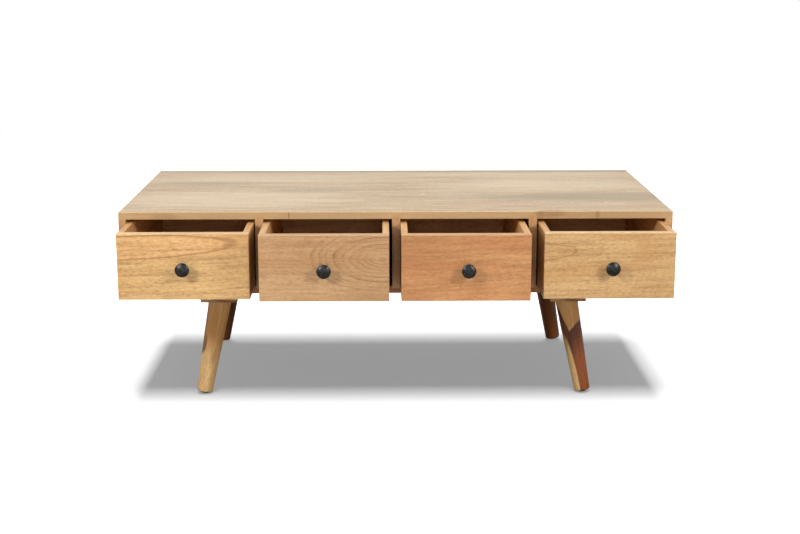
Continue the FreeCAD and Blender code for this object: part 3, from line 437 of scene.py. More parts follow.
def ring_radius(wires, given):
    """How far a point is from the heart of the tree, whose line runs aslant through the board's face."""
    place = wires.parts(given["Vector"])
    from_heart = wires.minus(place[0], given["Heart along"])
    depth = wires.times_plus(from_heart, given["Heart slope"], place[2])
    across = wires.minus(place[1], given["Heart across"])
    squares = wires.plus(wires.times(depth, depth), wires.times(across, across))
    waver = wires.centred(grain_noise(wires, given, "waver"))
    ripple = wires.centred(grain_noise(wires, given, "ripple"))
    ripple_share = 0.35
    wander = wires.times_plus(ripple, ripple_share, waver)
    return wires.times_plus(wander, given["Ring waver"], wires.math("SQRT", squares))


def ring_lines(wires, given, radius):
    """Dark lines where each year's growth ends, which come and go along the board."""
    tone_rate, spread_rate, spread = 0.43, 0.29, 1.6
    line_sharpness = 5.0
    years = wires.math("DIVIDE", radius, given["Ring width"])
    tone = wires.line_noise(wires.times_plus(years, tone_rate, given["Seed"]))
    uneven = wires.line_noise(wires.times_plus(years, spread_rate, given["Seed"]))
    growth = wires.math("FRACT", wires.times_plus(uneven, spread, years))
    line = wires.math("POWER", growth, line_sharpness)
    fade = grain_level(wires, given, "fade")
    none_share, full_share = 1.0, 0.5
    near = wires.ramp(wires.math("DIVIDE", radius, given["Ring reach"]), none_share, full_share)
    return tone, wires.times(line, wires.times(fade, near))


def build_timber_grain():
    """Solid wood, cut through in any direction: rings, heart, streaks and pores."""
    wires, given, result = new_group("timber_grain", GRAIN_INPUTS, GRAIN_OUTPUTS)
    radius = ring_radius(wires, given)
    tone, line = ring_lines(wires, given, radius)
    names = ("patch", "streak", "fleck", "mottle", "pore")
    patch, streak, fleck, mottle, pore = (grain_level(wires, given, name) for name in names)

    # Colour, from wide bands to fine pores
    band = wires.times_plus(wires.centred(patch), given["Patch strength"], tone)
    band_levels = (0.2, 0.8)
    wood = wires.mix(wires.ramp(band, *band_levels), given["Pale"], given["Warm"])
    heart_edge_share = 1.25
    outside = wires.times(given["Heart radius"], heart_edge_share)
    inside = wires.ramp(radius, outside, given["Heart radius"])
    wood = wires.mix(wires.times(inside, given["Heart strength"]), wood, given["Heart"])
    wood = wires.mix(wires.times(line, given["Ring strength"]), wood, given["Dark"])
    rim_share = 0.09
    off_rim = wires.math("ABSOLUTE", wires.minus(radius, given["Heart radius"]))
    rim_width = wires.times(given["Heart radius"], rim_share)
    rim = wires.ramp(off_rim, rim_width, 0.0)
    rim_levels = (0.2, 0.5)
    rim_fade = wires.ramp(grain_noise(wires, given, "fade"), *rim_levels)
    rim = wires.times(wires.times(rim, rim_fade), given["Heart line"])
    wood = wires.mix(rim, wood, given["Dark"])
    fleck_share, mottle_share = 0.85, 0.5
    fine = wires.times_plus(mottle, mottle_share, streak)
    fine = wires.times_plus(fleck, fleck_share, fine)
    wood = wires.mix(wires.times(fine, given["Streak strength"]), wood, given["Dark"])
    wood = wires.mix(wires.times(pore, given["Pore strength"]), wood, given["Dark"])
    wires.feed(result["Colour"], wood)

    # Pores are open and dull, and streaks stand a little higher or lower
    dull_share, streak_share = 0.12, 0.07
    rough = wires.times_plus(pore, dull_share, given["Roughness"])
    wires.feed(result["Roughness"], wires.times_plus(streak, streak_share, rough))
    pore_depth_share, streak_depth_share = -0.7, -0.3
    height = wires.times(pore, pore_depth_share)
    wires.feed(result["Height"], wires.times_plus(streak, streak_depth_share, height))


def build_glued_staves():
    """Boards glued up from staves: each stave is its own cut of the tree, with a fine joint between."""
    inputs = {"Vector": "vector", "Stave width": "number", "Stave length": "number", "Seed": "number"}
    outputs = {"Vector": "vector", "Seed": "number", "Joint": "number"}
    wires, given, result = new_group("glued_staves", inputs, outputs)
    place = wires.parts(given["Vector"])
    rows = wires.plus(wires.math("DIVIDE", place[1], given["Stave width"]), 0.5)
    row = wires.math("FLOOR", rows)
    seeded_row = wires.plus(row, given["Seed"])
    stagger = wires.out("ShaderNodeTexWhiteNoise", {"W": seeded_row}, noise_dimensions="1D")
    columns = wires.plus(wires.math("DIVIDE", place[0], given["Stave length"]), stagger)
    column = wires.math("FLOOR", columns)
    cell = wires.joined(seeded_row, column, 0.0)
    chance = wires.node("ShaderNodeTexWhiteNoise", {"Vector": cell}, noise_dimensions="3D")
    drawn = wires.parts(chance.outputs[1])

    # Each stave's own place in the tree, near the heart's line
    along = wires.centred(drawn[0])
    across = wires.minus(wires.math("FRACT", rows), drawn[1])
    spread_share = 2.0
    own_x = wires.plus(place[0], along)
    own_y = wires.times(wires.times(across, spread_share), given["Stave width"])
    wires.feed(result["Vector"], wires.joined(own_x, own_y, place[2]))
    seeds = 60.0
    wires.feed(result["Seed"], wires.times_plus(drawn[2], seeds, given["Seed"]))
    joint_width = 0.0006
    from_middle = wires.math("ABSOLUTE", wires.minus(wires.math("FRACT", rows), 0.5))
    to_joint = wires.times(wires.minus(0.5, from_middle), given["Stave width"])
    wires.feed(result["Joint"], wires.ramp(to_joint, joint_width, 0.0))


def build_grain_mark():
    """A mark in the wood, long along the grain, with a ragged edge."""
    numbers = ("Half length", "Half width", "Half depth", "Soft edge", "Ragged edge")
    inputs = {"Vector": "vector", "Centre": "vector", **dict.fromkeys(numbers, "number")}
    wires, given, result = new_group("grain_mark", inputs, {"Mask": "number"})
    offset = wires.vector("SUBTRACT", given["Vector"], given["Centre"])
    half = wires.joined(given["Half length"], given["Half width"], given["Half depth"])
    scaled = wires.vector("DIVIDE", offset, half)
    from_centre = wires.node("ShaderNodeVectorMath", {0: scaled}, operation="LENGTH").outputs["Value"]
    ragged_rates, ragged_seed, ragged_detail = (14.0, 110.0, 110.0), 0.0, 3.0
    ragged = wires.noise(wires.vector("MULTIPLY", given["Vector"], ragged_rates), ragged_seed, ragged_detail)
    wander = wires.times(wires.centred(ragged), given["Ragged edge"])
    reach = wires.plus(from_centre, wander)
    outer = wires.plus(given["Soft edge"], 1.0)
    inner = wires.minus(1.0, given["Soft edge"])
    wires.feed(result["Mask"], wires.ramp(reach, outer, inner))


def build_metal_finish():
    """Metal with dull patches, fine scratches and a faint dimpling."""
    numbers = ("Patch size", "Roughness")
    inputs = {"Vector": "vector", "Bright": "colour", "Dull": "colour", **dict.fromkeys(numbers, "number")}
    wires, given, result = new_group("metal_finish", inputs, GRAIN_OUTPUTS)
    rate = wires.math("DIVIDE", 1.0, given["Patch size"])
    scaling = {0: given["Vector"], "Scale": rate}
    scaled = wires.out("ShaderNodeVectorMath", scaling, operation="SCALE")
    seed, patch_detail, patch_levels = 0.0, 4.0, (0.35, 0.7)
    patch = wires.ramp(wires.noise(scaled, seed, patch_detail), *patch_levels)
    scratch_rates = (2.0, 2.0, 40.0)
    scratch = wires.noise(wires.vector("MULTIPLY", scaled, scratch_rates), seed)
    wires.feed(result["Colour"], wires.mix(patch, given["Bright"], given["Dull"]))
    patch_share, scratch_share = 0.14, 0.08
    rough = wires.times_plus(patch, patch_share, given["Roughness"])
    wires.feed(result["Roughness"], wires.times_plus(scratch, scratch_share, rough))
    wires.feed(result["Height"], wires.times_plus(scratch, scratch_share, patch))


def group_tree(name):
    """A node group, built when it is first asked for."""
    builders = {
        "timber_grain": build_timber_grain,
        "glued_staves": build_glued_staves,
        "grain_mark": build_grain_mark,
        "metal_finish": build_metal_finish,
    }
    if name not in bpy.data.node_groups:
        builders[name]()
    return bpy.data.node_groups[name]


# Materials
def new_material(name):
    material = bpy.data.materials.new(name)
    material.use_nodes = True
    material.node_tree.nodes.clear()
    return material, Wiring(material.node_tree)


def board_place(wires, origin, along, across):
    """Object coordinates as seen from a board: X along its grain, Y across, Z out of its face."""
    out = along.cross(across)
    turn = Matrix((along, across, out)).transposed().to_euler()
    inputs = {"Vector": wires.place(), "Location": origin, "Rotation": turn}
    return wires.out("ShaderNodeMapping", inputs, vector_type="TEXTURE")


def finish_surface(wires, finish, base_colour, relief, metallic=0.0):
    """The shader at the end of a material, with relief from the finish's height."""
    bump = wires.out("ShaderNodeBump", {"Height": finish["Height"], "Distance": relief})
    look = {"Base Color": base_colour, "Roughness": finish["Roughness"], "Metallic": metallic}
    shader = wires.out("ShaderNodeBsdfPrincipled", {**look, "Normal": bump})
    wires.node("ShaderNodeOutputMaterial", {"Surface": shader})


WOOD_RELIEF = 0.0002


def wood_colours(pale, warm, dark, heart=None):
    heart = warm if heart is None else heart
    return {"Pale": solid(pale), "Warm": solid(warm), "Dark": solid(dark), "Heart": solid(heart)}


def marked(wires, vector, wood, marks):
    """Lays marks over the wood: each has its colour, strength, place and size along and across the grain."""
    for mark in marks:
        inputs = {name: value for name, value in mark.items() if name not in ("Colour", "Strength")}
        inputs["Vector"] = vector
        mask = wires.group("grain_mark", inputs)["Mask"]
        wood = wires.mix(wires.times(mask, mark["Strength"]), wood, solid(mark["Colour"]))
    return wood


def plank_material(name, place, colours, grain, marks=(), marks_place=None):
    """One plank of solid wood. Its marks can have a place of their own."""
    material, wires = new_material(name)
    vector = board_place(wires, *place)
    finish = wires.group("timber_grain", {**PLAIN_GRAIN, **colours, **grain, "Vector": vector})
    if marks_place is not None:
        vector = board_place(wires, *marks_place)
    wood = marked(wires, vector, finish["Colour"], marks)
    finish_surface(wires, finish, wood, WOOD_RELIEF)
    return material


def stave_material(name, place, colours, grain, stave_width, stave_length, marks=()):
    """A board glued up from staves."""
    material, wires = new_material(name)
    vector = board_place(wires, *place)
    stave_inputs = {"Vector": vector, "Stave width": stave_width, "Stave length": stave_length}
    stave = wires.group("glued_staves", {**stave_inputs, "Seed": grain["Seed"]})
    own = {"Vector": stave["Vector"], "Seed": stave["Seed"]}
    finish = wires.group("timber_grain", {**PLAIN_GRAIN, **colours, **grain, **own})
    joint_share = 0.5
    joint = wires.times(stave["Joint"], joint_share)
    wood = wires.mix(joint, marked(wires, vector, finish["Colour"], marks), colours["Dark"])
    finish_surface(wires, finish, wood, WOOD_RELIEF)
    return material


def dress(node, material):
    """Gives a CAD node its material."""
    for slot in frame["nodes"][node].material_slots:
        slot.material = material


def middle(node):
    low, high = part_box(node)
    return (low + high) / 2


def side_middle(node, axis, end):
    """The middle of one of a node's faces: the lowest or the highest along an axis."""
    point = middle(node)
    point[axis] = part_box(node)[end][axis]
    return point


# Longer than any board, for marks that run all along it
ENDLESS = 6.0
# Where the figure of each drawer front sits, from the middle of its face
FRONT_FIGURES = {
    1: {
        "Seed": 1.7,
        "Heart along": -0.15,
        "Heart across": 0.0457,
        "Heart slope": 0.089,
        "Heart radius": 0.0241,
        "Heart strength": 0.6,
        "Heart line": 0.5,
        "Ring width": 0.011,
        "Ring waver": 0.014,
        "Ring strength": 0.2,
        "Streak strength": 0.36,
    },
    2: {
        "Seed": 5.2,
        "Heart along": 0.1216,
        "Heart across": 0.022,
        "Heart slope": 0.44,
        "Ring width": 0.0075,
        "Ring waver": 0.02,
        "Ring strength": 1.0,
        "Ring reach": 0.09,
        "Streak strength": 0.3,
    },
    3: {
        "Seed": 9.4,
        "Heart along": -0.7,
        "Heart across": -0.05,
        "Heart slope": 0.1,
        "Ring width": 0.009,
        "Ring waver": 0.02,
        "Ring strength": 0.24,
        "Streak strength": 0.34,
    },
    4: {
        "Seed": 13.1,
        "Heart along": -0.164,
        "Heart across": 0.032,
        "Heart slope": 0.22,
        "Heart radius": 0.0196,
        "Heart strength": 0.45,
        "Heart line": 0.65,
        "Ring width": 0.01,
        "Ring waver": 0.016,
        "Ring strength": 0.45,
        "Ring reach": 0.045,
        "Streak strength": 0.36,
    },
}
# Painted highlight along a front's upper edge, by its height above the middle
FRONT_RIM_HIGHLIGHT = {
    "Centre": (0.0, 0.0704, 0.0),
    "Half length": ENDLESS,
    "Half width": 0.001,
    "Half depth": 0.05,
    "Soft edge": 0.4,
    "Ragged edge": 0.5,
}
RIM_HIGHLIGHT_STRENGTHS = {1: 0.4, 2: 0.2, 3: 0.25, 4: 0.45}
# A wide, soft patch of darker wood on each front, from the middle of its face
FRONT_SHADES = {
    1: {"Centre": (0.12, -0.01, 0.0), "Half length": 0.055, "Half width": 0.08, "Strength": 0.2},
    2: {"Centre": (0.1, -0.01, 0.0), "Half length": 0.07, "Half width": 0.08, "Strength": 0.12},
    3: {"Centre": (-0.11, 0.04, 0.0), "Half length": 0.06, "Half width": 0.035, "Strength": 0.2},
    4: {"Centre": (0.1, -0.01, 0.0), "Half length": 0.06, "Half width": 0.08, "Strength": 0.14},
}
SHADE_EDGES = {"Half depth": 1.0, "Soft edge": 0.7, "Ragged edge": 0.8}
# How far the grain of each front climbs to the right
FRONT_CLIMBS = {1: 0.047, 2: -0.02, 3: 0.06, 4: 0.01}


def front_materials(fronts):
    for drawer in DRAWERS:
        node = f"drawer_{drawer}_front"
        climb = Matrix.Rotation(-FRONT_CLIMBS[drawer], 3, "Y")
        upright = (side_middle(node, Y, LOWEST), RIGHT, UP)
        place = (upright[0], climb @ RIGHT, climb @ UP)
        pale, warm = getattr(fronts, f"pale_{drawer}"), getattr(fronts, f"warm_{drawer}")
        colours = wood_colours(pale, warm, fronts.dark, getattr(fronts, f"heart_{drawer}", None))
        shaded = {**SHADE_EDGES, **FRONT_SHADES[drawer], "Colour": fronts.dark}
        # A painted highlight along the front's upper edge
        rim = {**FRONT_RIM_HIGHLIGHT, "Colour": fronts.rim, "Strength": RIM_HIGHLIGHT_STRENGTHS[drawer]}
        grain = FRONT_FIGURES[drawer]
        dress(node, plank_material(f"front_{drawer}_wood", place, colours, grain, [shaded, rim], upright))


# Greyish bands on the top, from its middle
TOP_BANDS = (
    {"Centre": (0.47, -0.115, 0.0), "Half length": 0.3, "Half width": 0.05, "Strength": 0.75},
    {"Centre": (-0.46, 0.088, 0.0), "Half length": 0.13, "Half width": 0.03, "Strength": 0.5},
    {"Centre": (-0.2, -0.02, 0.0), "Half length": 0.1, "Half width": 0.03, "Strength": 0.45},
    {"Centre": (0.1, 0.282, 0.0), "Half length": 0.9, "Half width": 0.014, "Strength": 0.7},
)
# Lighter patches on the top
TOP_LIGHTS = (
    {"Centre": (-0.36, -0.13, 0.0), "Half length": 0.24, "Half width": 0.11, "Strength": 0.4},
    {"Centre": (-0.3, 0.17, 0.0), "Half length": 0.3, "Half width": 0.07, "Strength": 0.35},
    {"Centre": (0.36, 0.06, 0.0), "Half length": 0.24, "Half width": 0.09, "Strength": 0.4},
    {"Centre": (0.3, 0.22, 0.0), "Half length": 0.3, "Half width": 0.04, "Strength": 0.3},
)
BAND_EDGES = {"Half depth": 0.012, "Soft edge": 0.55, "Ragged edge": 0.7}
# Marks on the top's front edge: a butt joint, a knot in two parts, a small scar and two faint streaks
TOP_MARKS = (
    {"Centre": (-0.232, -0.3, -0.008), "Half length": 0.0012, "Half width": 0.003, "Strength": 0.9},
    {"Centre": (0.335, -0.3, -0.004), "Half length": 0.03, "Half width": 0.012, "Strength": 0.5},
    {"Centre": (0.312, -0.3, -0.009), "Half length": 0.008, "Half width": 0.012, "Strength": 0.5},
    {"Centre": (0.436, -0.3, -0.007), "Half length": 0.005, "Half width": 0.006, "Strength": 0.5},
    {"Centre": (0.46, -0.3, -0.008), "Half length": 0.2, "Half width": 0.004, "Strength": 0.2},
    {"Centre": (-0.5, -0.3, -0.012), "Half length": 0.03, "Half width": 0.005, "Strength": 0.3},
)
MARK_EDGES = {"Half depth": 0.009, "Soft edge": 0.4, "Ragged edge": 0.4}
# Painted light along the top's front edge: a lighter, more golden band than the top's own wood
TOP_EDGE_LIGHT = {"Centre": (0.0, -0.3, -0.008), "Half length": ENDLESS, "Half width": 0.004, "Strength": 0.75}


def top_material(top):
    place = (side_middle("top_panel", Z, HIGHEST), RIGHT, BACKWARD)
    colours = wood_colours(top.pale, top.warm, top.dark)
    grain = {"Seed": 3.0, "Ring strength": 0.5, "Streak strength": 0.58, "Roughness": 0.42}
    marks = [{**BAND_EDGES, **patch, "Colour": top.light} for patch in TOP_LIGHTS]
    marks += [{**BAND_EDGES, **band, "Colour": top.grey} for band in TOP_BANDS]
    marks.append({**MARK_EDGES, **TOP_EDGE_LIGHT, "Colour": top.edge})
    marks += [{**MARK_EDGES, **mark, "Colour": top.dark} for mark in TOP_MARKS]
    wood = stave_material("top_wood", place, colours, grain, top.stave_width, top.stave_length, marks)
    dress("top_panel", wood)


# Painted shade on the front edges of the uprights, below the drawers' upper edges, where the drawers shade
# them, and on the bottom panel's front edge
LOW_EDGE_SHADE = {"Centre": (-0.0395, -0.292, 0.0), "Half length": 0.075, "Strength": 0.15}
BOTTOM_EDGE_SHADE = {"Centre": (0.0, -0.3, 0.0), "Half length": ENDLESS, "Strength": 0.8}
EDGE_SHADE_LIMITS = {"Half width": 0.006, "Half depth": ENDLESS, "Soft edge": 0.12, "Ragged edge": 0.2}


def carcass_materials(carcass):
    colours = wood_colours(carcass.frame_pale, carcass.frame_warm, carcass.frame_dark)
    upright = (middle("divider_2"), UP, BACKWARD)
    flat = (middle("bottom_panel"), RIGHT, BACKWARD)
    standing = (side_middle("back_panel", Y, HIGHEST), RIGHT, UP)
    # Longer than the boards, so that each stave runs all along
    stave_length = 4.0
    staves = (carcass.stave_width, stave_length)
    low_edge_shade = {**EDGE_SHADE_LIMITS, **LOW_EDGE_SHADE, "Colour": carcass.frame_edge_shade}
    bottom_edge_shade = {**EDGE_SHADE_LIMITS, **BOTTOM_EDGE_SHADE, "Colour": carcass.frame_edge_shade}
    uprights = stave_material("upright_wood", upright, colours, {"Seed": 7.0}, *staves, [low_edge_shade])
    for node in UPRIGHTS:
        dress(node, uprights)
    bottom = stave_material("bottom_wood", flat, colours, {"Seed": 21.0}, *staves, [bottom_edge_shade])
    dress("bottom_panel", bottom)
    dress("back_panel", stave_material("back_wood", standing, colours, {"Seed": 33.0}, *staves))
    dress("drawer_stops", plank_material("stop_wood", flat, colours, {"Seed": 40.0, "Ring width": 0.004}))
    dowels = plank_material("dowel_wood", upright, colours, {"Seed": 44.0, "Ring width": 0.003})
    dress("carcass_dowels", dowels)


# Painted shade on the outer face of a drawer's side, where the neighbouring drawers shade it, from its
# middle; the upper edge stays pale
OUTER_FACE_SHADE = {
    "Centre": (0.0, -0.004, 0.0),
    "Half length": ENDLESS,
    "Half width": 0.07,
    "Half depth": 0.003,
    "Soft edge": 0.04,
    "Ragged edge": 0.04,
    "Strength": 0.7,
}


def box_side_material(carcass, drawer, side, end):
    """Wood of the left side of a drawer, at its lowest end along X, or of the right one."""
    node = f"drawer_{drawer}_{side}"
    colours = wood_colours(carcass.box_pale, carcass.box_warm, carcass.box_dark)
    outer = (side_middle(node, X, end), BACKWARD, UP)
    grain = {"Seed": 51.0 + drawer, "Ring strength": 0.35}
    # Painted shade on the side's outer face, in the grain colour
    marks = [{**OUTER_FACE_SHADE, "Colour": carcass.box_dark}]
    return plank_material(f"{node}_wood", outer, colours, grain, marks)


def box_materials(carcass):
    colours = wood_colours(carcass.box_pale, carcass.box_warm, carcass.box_dark)
    back = (middle("drawer_2_back"), RIGHT, UP)
    back_wood = plank_material("drawer_back_wood", back, colours, {"Seed": 57.0})
    veneer = wood_colours(carcass.ply_pale, carcass.box_warm, carcass.ply_dark)
    bottom = (middle("drawer_2_bottom"), RIGHT, BACKWARD)
    bottom_wood = plank_material("drawer_bottom_veneer", bottom, veneer, {"Seed": 63.0, "Heart slope": 0.05})
    for drawer in DRAWERS:
        for side, end in (("left", LOWEST), ("right", HIGHEST)):
            dress(f"drawer_{drawer}_{side}", box_side_material(carcass, drawer, side, end))
        dress(f"drawer_{drawer}_back", back_wood)
        dress(f"drawer_{drawer}_bottom", bottom_wood)


# Legs, each seen along its own axis from the foot upwards
def leg_place(corner):
    foot = side_middle(f"foot_glide_{corner}", Z, LOWEST)
    head = side_middle(f"leg_block_{corner}", Z, LOWEST)
    along = (head - foot).normalized()
    across = (RIGHT - along * along.dot(RIGHT)).normalized()
    return foot, along, across


# How strongly the upper wood of the front legs takes its warmer colour, a painted warm shade where the
# drawers shadow the legs
PAINTED_SHADE_WARMTH = 0.5
LEG_GRAIN = {"Heart along": -0.3, "Heart across": 0.05, "Ring width": 0.006, "Ring waver": 0.012}
# Marks that go right through a leg. On the left front leg they are a dark streak at its outer edge,
# the streak's thin upper part, two small reddish patches and, above, painted warm shade where the drawers
# shadow the leg
THROUGH = {"Half depth": 1.0}
LEFT_LEG_MARKS = (
    {"Centre": (0.116, -0.0245, 0.0), "Half length": 0.027, "Half width": 0.0125,
     "Soft edge": 0.15, "Ragged edge": 0.15, "Colour": "dark", "Strength": 0.9},
    {"Centre": (0.155, -0.0245, 0.0), "Half length": 0.05, "Half width": 0.0062,
     "Soft edge": 0.25, "Ragged edge": 0.3, "Colour": "dark", "Strength": 0.85},
    {"Centre": (0.088, 0.007, 0.0), "Half length": 0.018, "Half width": 0.005,
     "Soft edge": 0.6, "Ragged edge": 0.6, "Colour": "heart_pale", "Strength": 0.4},
    {"Centre": (0.165, -0.004, 0.0), "Half length": 0.032, "Half width": 0.008,
     "Soft edge": 0.7, "Ragged edge": 0.8, "Colour": "heart_pale", "Strength": 0.4},
    {"Centre": (0.25, 0.0, 0.0), "Half length": 0.138, "Half width": 1.0,
     "Soft edge": 0.2, "Ragged edge": 0.2, "Colour": "glow", "Strength": PAINTED_SHADE_WARMTH},
)
# On the right front leg: sapwood up one side of the foot, and brighter heartwood low on the other side
FOOT_STRIP = {"Centre": (-0.06, -0.0235, 0.0), "Half length": 0.2, "Half width": 0.0205,
              "Soft edge": 0.06, "Ragged edge": 0.12}
LOW_HEART = {"Centre": (0.02, 0.012, 0.0), "Half length": 0.085, "Half width": 0.02,
             "Soft edge": 0.5, "Ragged edge": 0.8, "Strength": 0.4}


def left_leg_material(legs):
    """Golden sapwood, with painted warm shade above and a dark streak of heartwood at its outer edge."""
    colours = wood_colours(legs.sap_pale, legs.sap_warm, legs.dark)
    marks = [{**THROUGH, **mark, "Colour": getattr(legs, mark["Colour"])} for mark in LEFT_LEG_MARKS]
    grain = {**LEG_GRAIN, "Seed": 71.0}
    return plank_material("leg_front_left_wood", leg_place("front_left"), colours, grain, marks)


def right_leg_material(legs):
    """Dark heartwood, with sapwood above a pointed border and up one side of the foot."""
    material, wires = new_material("leg_front_right_wood")
    vector = board_place(wires, *leg_place("front_right"))
    grain = {**PLAIN_GRAIN, **LEG_GRAIN, "Vector": vector}
    sap_colours = wood_colours(legs.sap_pale, legs.sap_warm, legs.dark)
    sap = wires.group("timber_grain", {**grain, **sap_colours, "Seed": 76.0})
    heart_colours = wood_colours(legs.heart_pale, legs.heart_warm, legs.dark)
    streaky = {"Seed": 78.0, "Streak strength": 0.6}
    heart = wires.group("timber_grain", {**grain, **heart_colours, **streaky})

    # The border is lowest near the middle of the leg and climbs to both sides, more steeply to the left
    border_height, border_across, border_soft = 0.146, -0.008, 0.0022
    left_climb, right_climb = -3.7, 0.75
    place = wires.parts(vector)
    aside = wires.minus(place[1], border_across)
    rise = wires.math("MAXIMUM", wires.times(aside, left_climb), wires.times(aside, right_climb))
    border = wires.plus(rise, border_height)
    wander_reach = 0.012
    wander = wires.centred(grain_noise(wires, {"Vector": vector, "Seed": 80.0}, "ripple"))
    above = wires.times_plus(wander, wander_reach, wires.minus(place[0], border))
    upper = wires.ramp(above, -border_soft, border_soft)
    strip = wires.group("grain_mark", {**THROUGH, **FOOT_STRIP, "Vector": vector})["Mask"]
    pale = wires.math("MAXIMUM", upper, strip)
    rim_reach = 0.02
    rim = wires.ramp(wires.math("ABSOLUTE", above), rim_reach, 0.0)
    rim_share = 0.5
    dark_heart = wires.mix(wires.times(rim, rim_share), heart["Colour"], solid(legs.dark))
    low_heart = {**THROUGH, **LOW_HEART, "Colour": legs.heart_bright}
    dark_heart = marked(wires, vector, dark_heart, [low_heart])
    # High on the leg the sapwood takes painted warm shade, where the drawers shadow it
    sap_with_painted_shade = wires.mix(wires.times(upper, PAINTED_SHADE_WARMTH), sap["Colour"], solid(legs.glow))
    wood = wires.mix(pale, dark_heart, sap_with_painted_shade)
    finish_surface(wires, sap, wood, WOOD_RELIEF)
    return material


def leg_materials(legs):
    dress("leg_front_left", left_leg_material(legs))
    dress("leg_front_right", right_leg_material(legs))
    back_colours = wood_colours(legs.back_pale, legs.back_warm, legs.dark)
    grain = {**LEG_GRAIN, "Seed": 85.0}
    for corner in ("back_left", "back_right"):
        name = f"leg_{corner}"
        dress(name, plank_material(f"{name}_wood", leg_place(corner), back_colours, grain))
    block_colours = wood_colours(legs.sap_warm, legs.heart_pale, legs.dark)
    grain = {"Seed": 91.0, "Ring width": 0.005}
    for corner in CORNERS:
        name = f"leg_block_{corner}"
        place = (side_middle(name, Z, LOWEST), RIGHT, BACKWARD)
        dress(name, plank_material(f"{name}_wood", place, block_colours, grain))


# Metal and plastic
def worn_material(name, bright, dull, patch_size, roughness, relief, metallic=1.0):
    """Metal, or plastic if it isn't metallic, with duller patches and scratches."""
    material, wires = new_material(name)
    colours = {"Bright": solid(bright), "Dull": solid(dull)}
    inputs = {"Vector": wires.place(), **colours, "Patch size": patch_size, "Roughness": roughness}
    finish = wires.group("metal_finish", inputs)
    finish_surface(wires, finish, finish["Colour"], relief, metallic)
    return material


def add_object(name, data):
    """A new object in the scene."""
    thing = bpy.data.objects.new(name, data)
    bpy.context.scene.collection.objects.link(thing)
    return thing


# Screws, made by geometry nodes
SCREW_LENGTHS = (
    "Head base radius",
    "Head top radius",
    "Head height",
    "Shank radius",
    "Shank length",
    "Tip length",
    "Recess reach",
    "Recess width",
    "Recess depth",
)
SCREW_INPUTS = {
    **dict.fromkeys(SCREW_LENGTHS, "NodeSocketFloat"),
    "Turn": "NodeSocketVector",
    "Seed": "NodeSocketInt",
    "Material": "NodeSocketMaterial",
}
SCREW_SIDES = 24


def screw_part(wires, kind, bottom, inputs):
    """A round part of the screw, stood on a height above the head's face."""
    part = wires.node(kind, {"Vertices": SCREW_SIDES, **inputs}).outputs["Mesh"]
    lift = wires.joined(0.0, 0.0, bottom)
    return wires.out("GeometryNodeTransform", {"Geometry": part, "Translation": lift})


def build_screw_tree():
    """A screw with a cross recess at every point that it is given, each turned by chance about its axis."""
    tree = bpy.data.node_groups.new("screws", "GeometryNodeTree")
    tree.interface.new_socket("Geometry", in_out="INPUT", socket_type="NodeSocketGeometry")
    for label, kind in SCREW_INPUTS.items():
        tree.interface.new_socket(label, in_out="INPUT", socket_type=kind)
    tree.interface.new_socket("Geometry", in_out="OUTPUT", socket_type="NodeSocketGeometry")
    wires = Wiring(tree)
    given = tree.nodes.new("NodeGroupInput").outputs
    result = tree.nodes.new("NodeGroupOutput").inputs

    # Head, shank and tip, from the head's face upwards
    head_sizes = {
        "Radius Bottom": given["Head base radius"],
        "Radius Top": given["Head top radius"],
        "Depth": given["Head height"],
    }
    head = screw_part(wires, "GeometryNodeMeshCone", 0.0, head_sizes)
    half_shank = wires.times(given["Shank length"], 0.5)
    shank_middle = wires.plus(given["Head height"], half_shank)
    shank_sizes = {"Radius": given["Shank radius"], "Depth": given["Shank length"]}
    shank = screw_part(wires, "GeometryNodeMeshCylinder", shank_middle, shank_sizes)
    tip_bottom = wires.plus(given["Head height"], given["Shank length"])
    tip_sizes = {"Radius Bottom": given["Shank radius"], "Radius Top": 0.0, "Depth": given["Tip length"]}
    tip = screw_part(wires, "GeometryNodeMeshCone", tip_bottom, tip_sizes)

    # The cross is cut into the head's face by two bars
    bar_height = wires.times(given["Recess depth"], 2.0)
    long_side, short_side = given["Recess reach"], given["Recess width"]
    cut = wires.node("GeometryNodeMeshBoolean", {0: head}, operation="DIFFERENCE")
    for sides in ((long_side, short_side), (short_side, long_side)):
        size = wires.joined(*sides, bar_height)
        bar = wires.node("GeometryNodeMeshCube", {"Size": size}).outputs["Mesh"]
        tree.links.new(bar, cut.inputs[1])
    whole = wires.node("GeometryNodeJoinGeometry", {})
    for part in (cut.outputs["Mesh"], shank, tip):
        tree.links.new(part, whole.inputs[0])

    # One screw at each point, turned by a number that is drawn up to a full turn, the node's socket 3
    draw = {3: math.tau, "Seed": given["Seed"]}
    chance = wires.node("FunctionNodeRandomValue", draw, data_type="FLOAT").outputs[1]
    turns = {"Rotation": given["Turn"], "Rotate By": wires.joined(0.0, 0.0, chance)}
    turned = wires.out("FunctionNodeRotateEuler", turns, space="LOCAL")
    placing = {"Points": given["Geometry"], "Instance": whole.outputs[0], "Rotation": turned}
    instances = wires.out("GeometryNodeInstanceOnPoints", placing)
    real = wires.out("GeometryNodeRealizeInstances", {"Geometry": instances})
    painting = {"Geometry": real, "Material": given["Material"]}
    painted = wires.out("GeometryNodeSetMaterial", painting)
    wires.feed(result[0], painted)
    return tree


def screw_tree():
    return bpy.data.node_groups.get("screws") or build_screw_tree()


def set_inputs(modifier, tree, values):
    """Writes a modifier's inputs by their names in the tree."""
    for item in tree.interface.items_tree:
        if item.in_out == "INPUT" and item.name in values:
            modifier[item.identifier] = values[item.name]


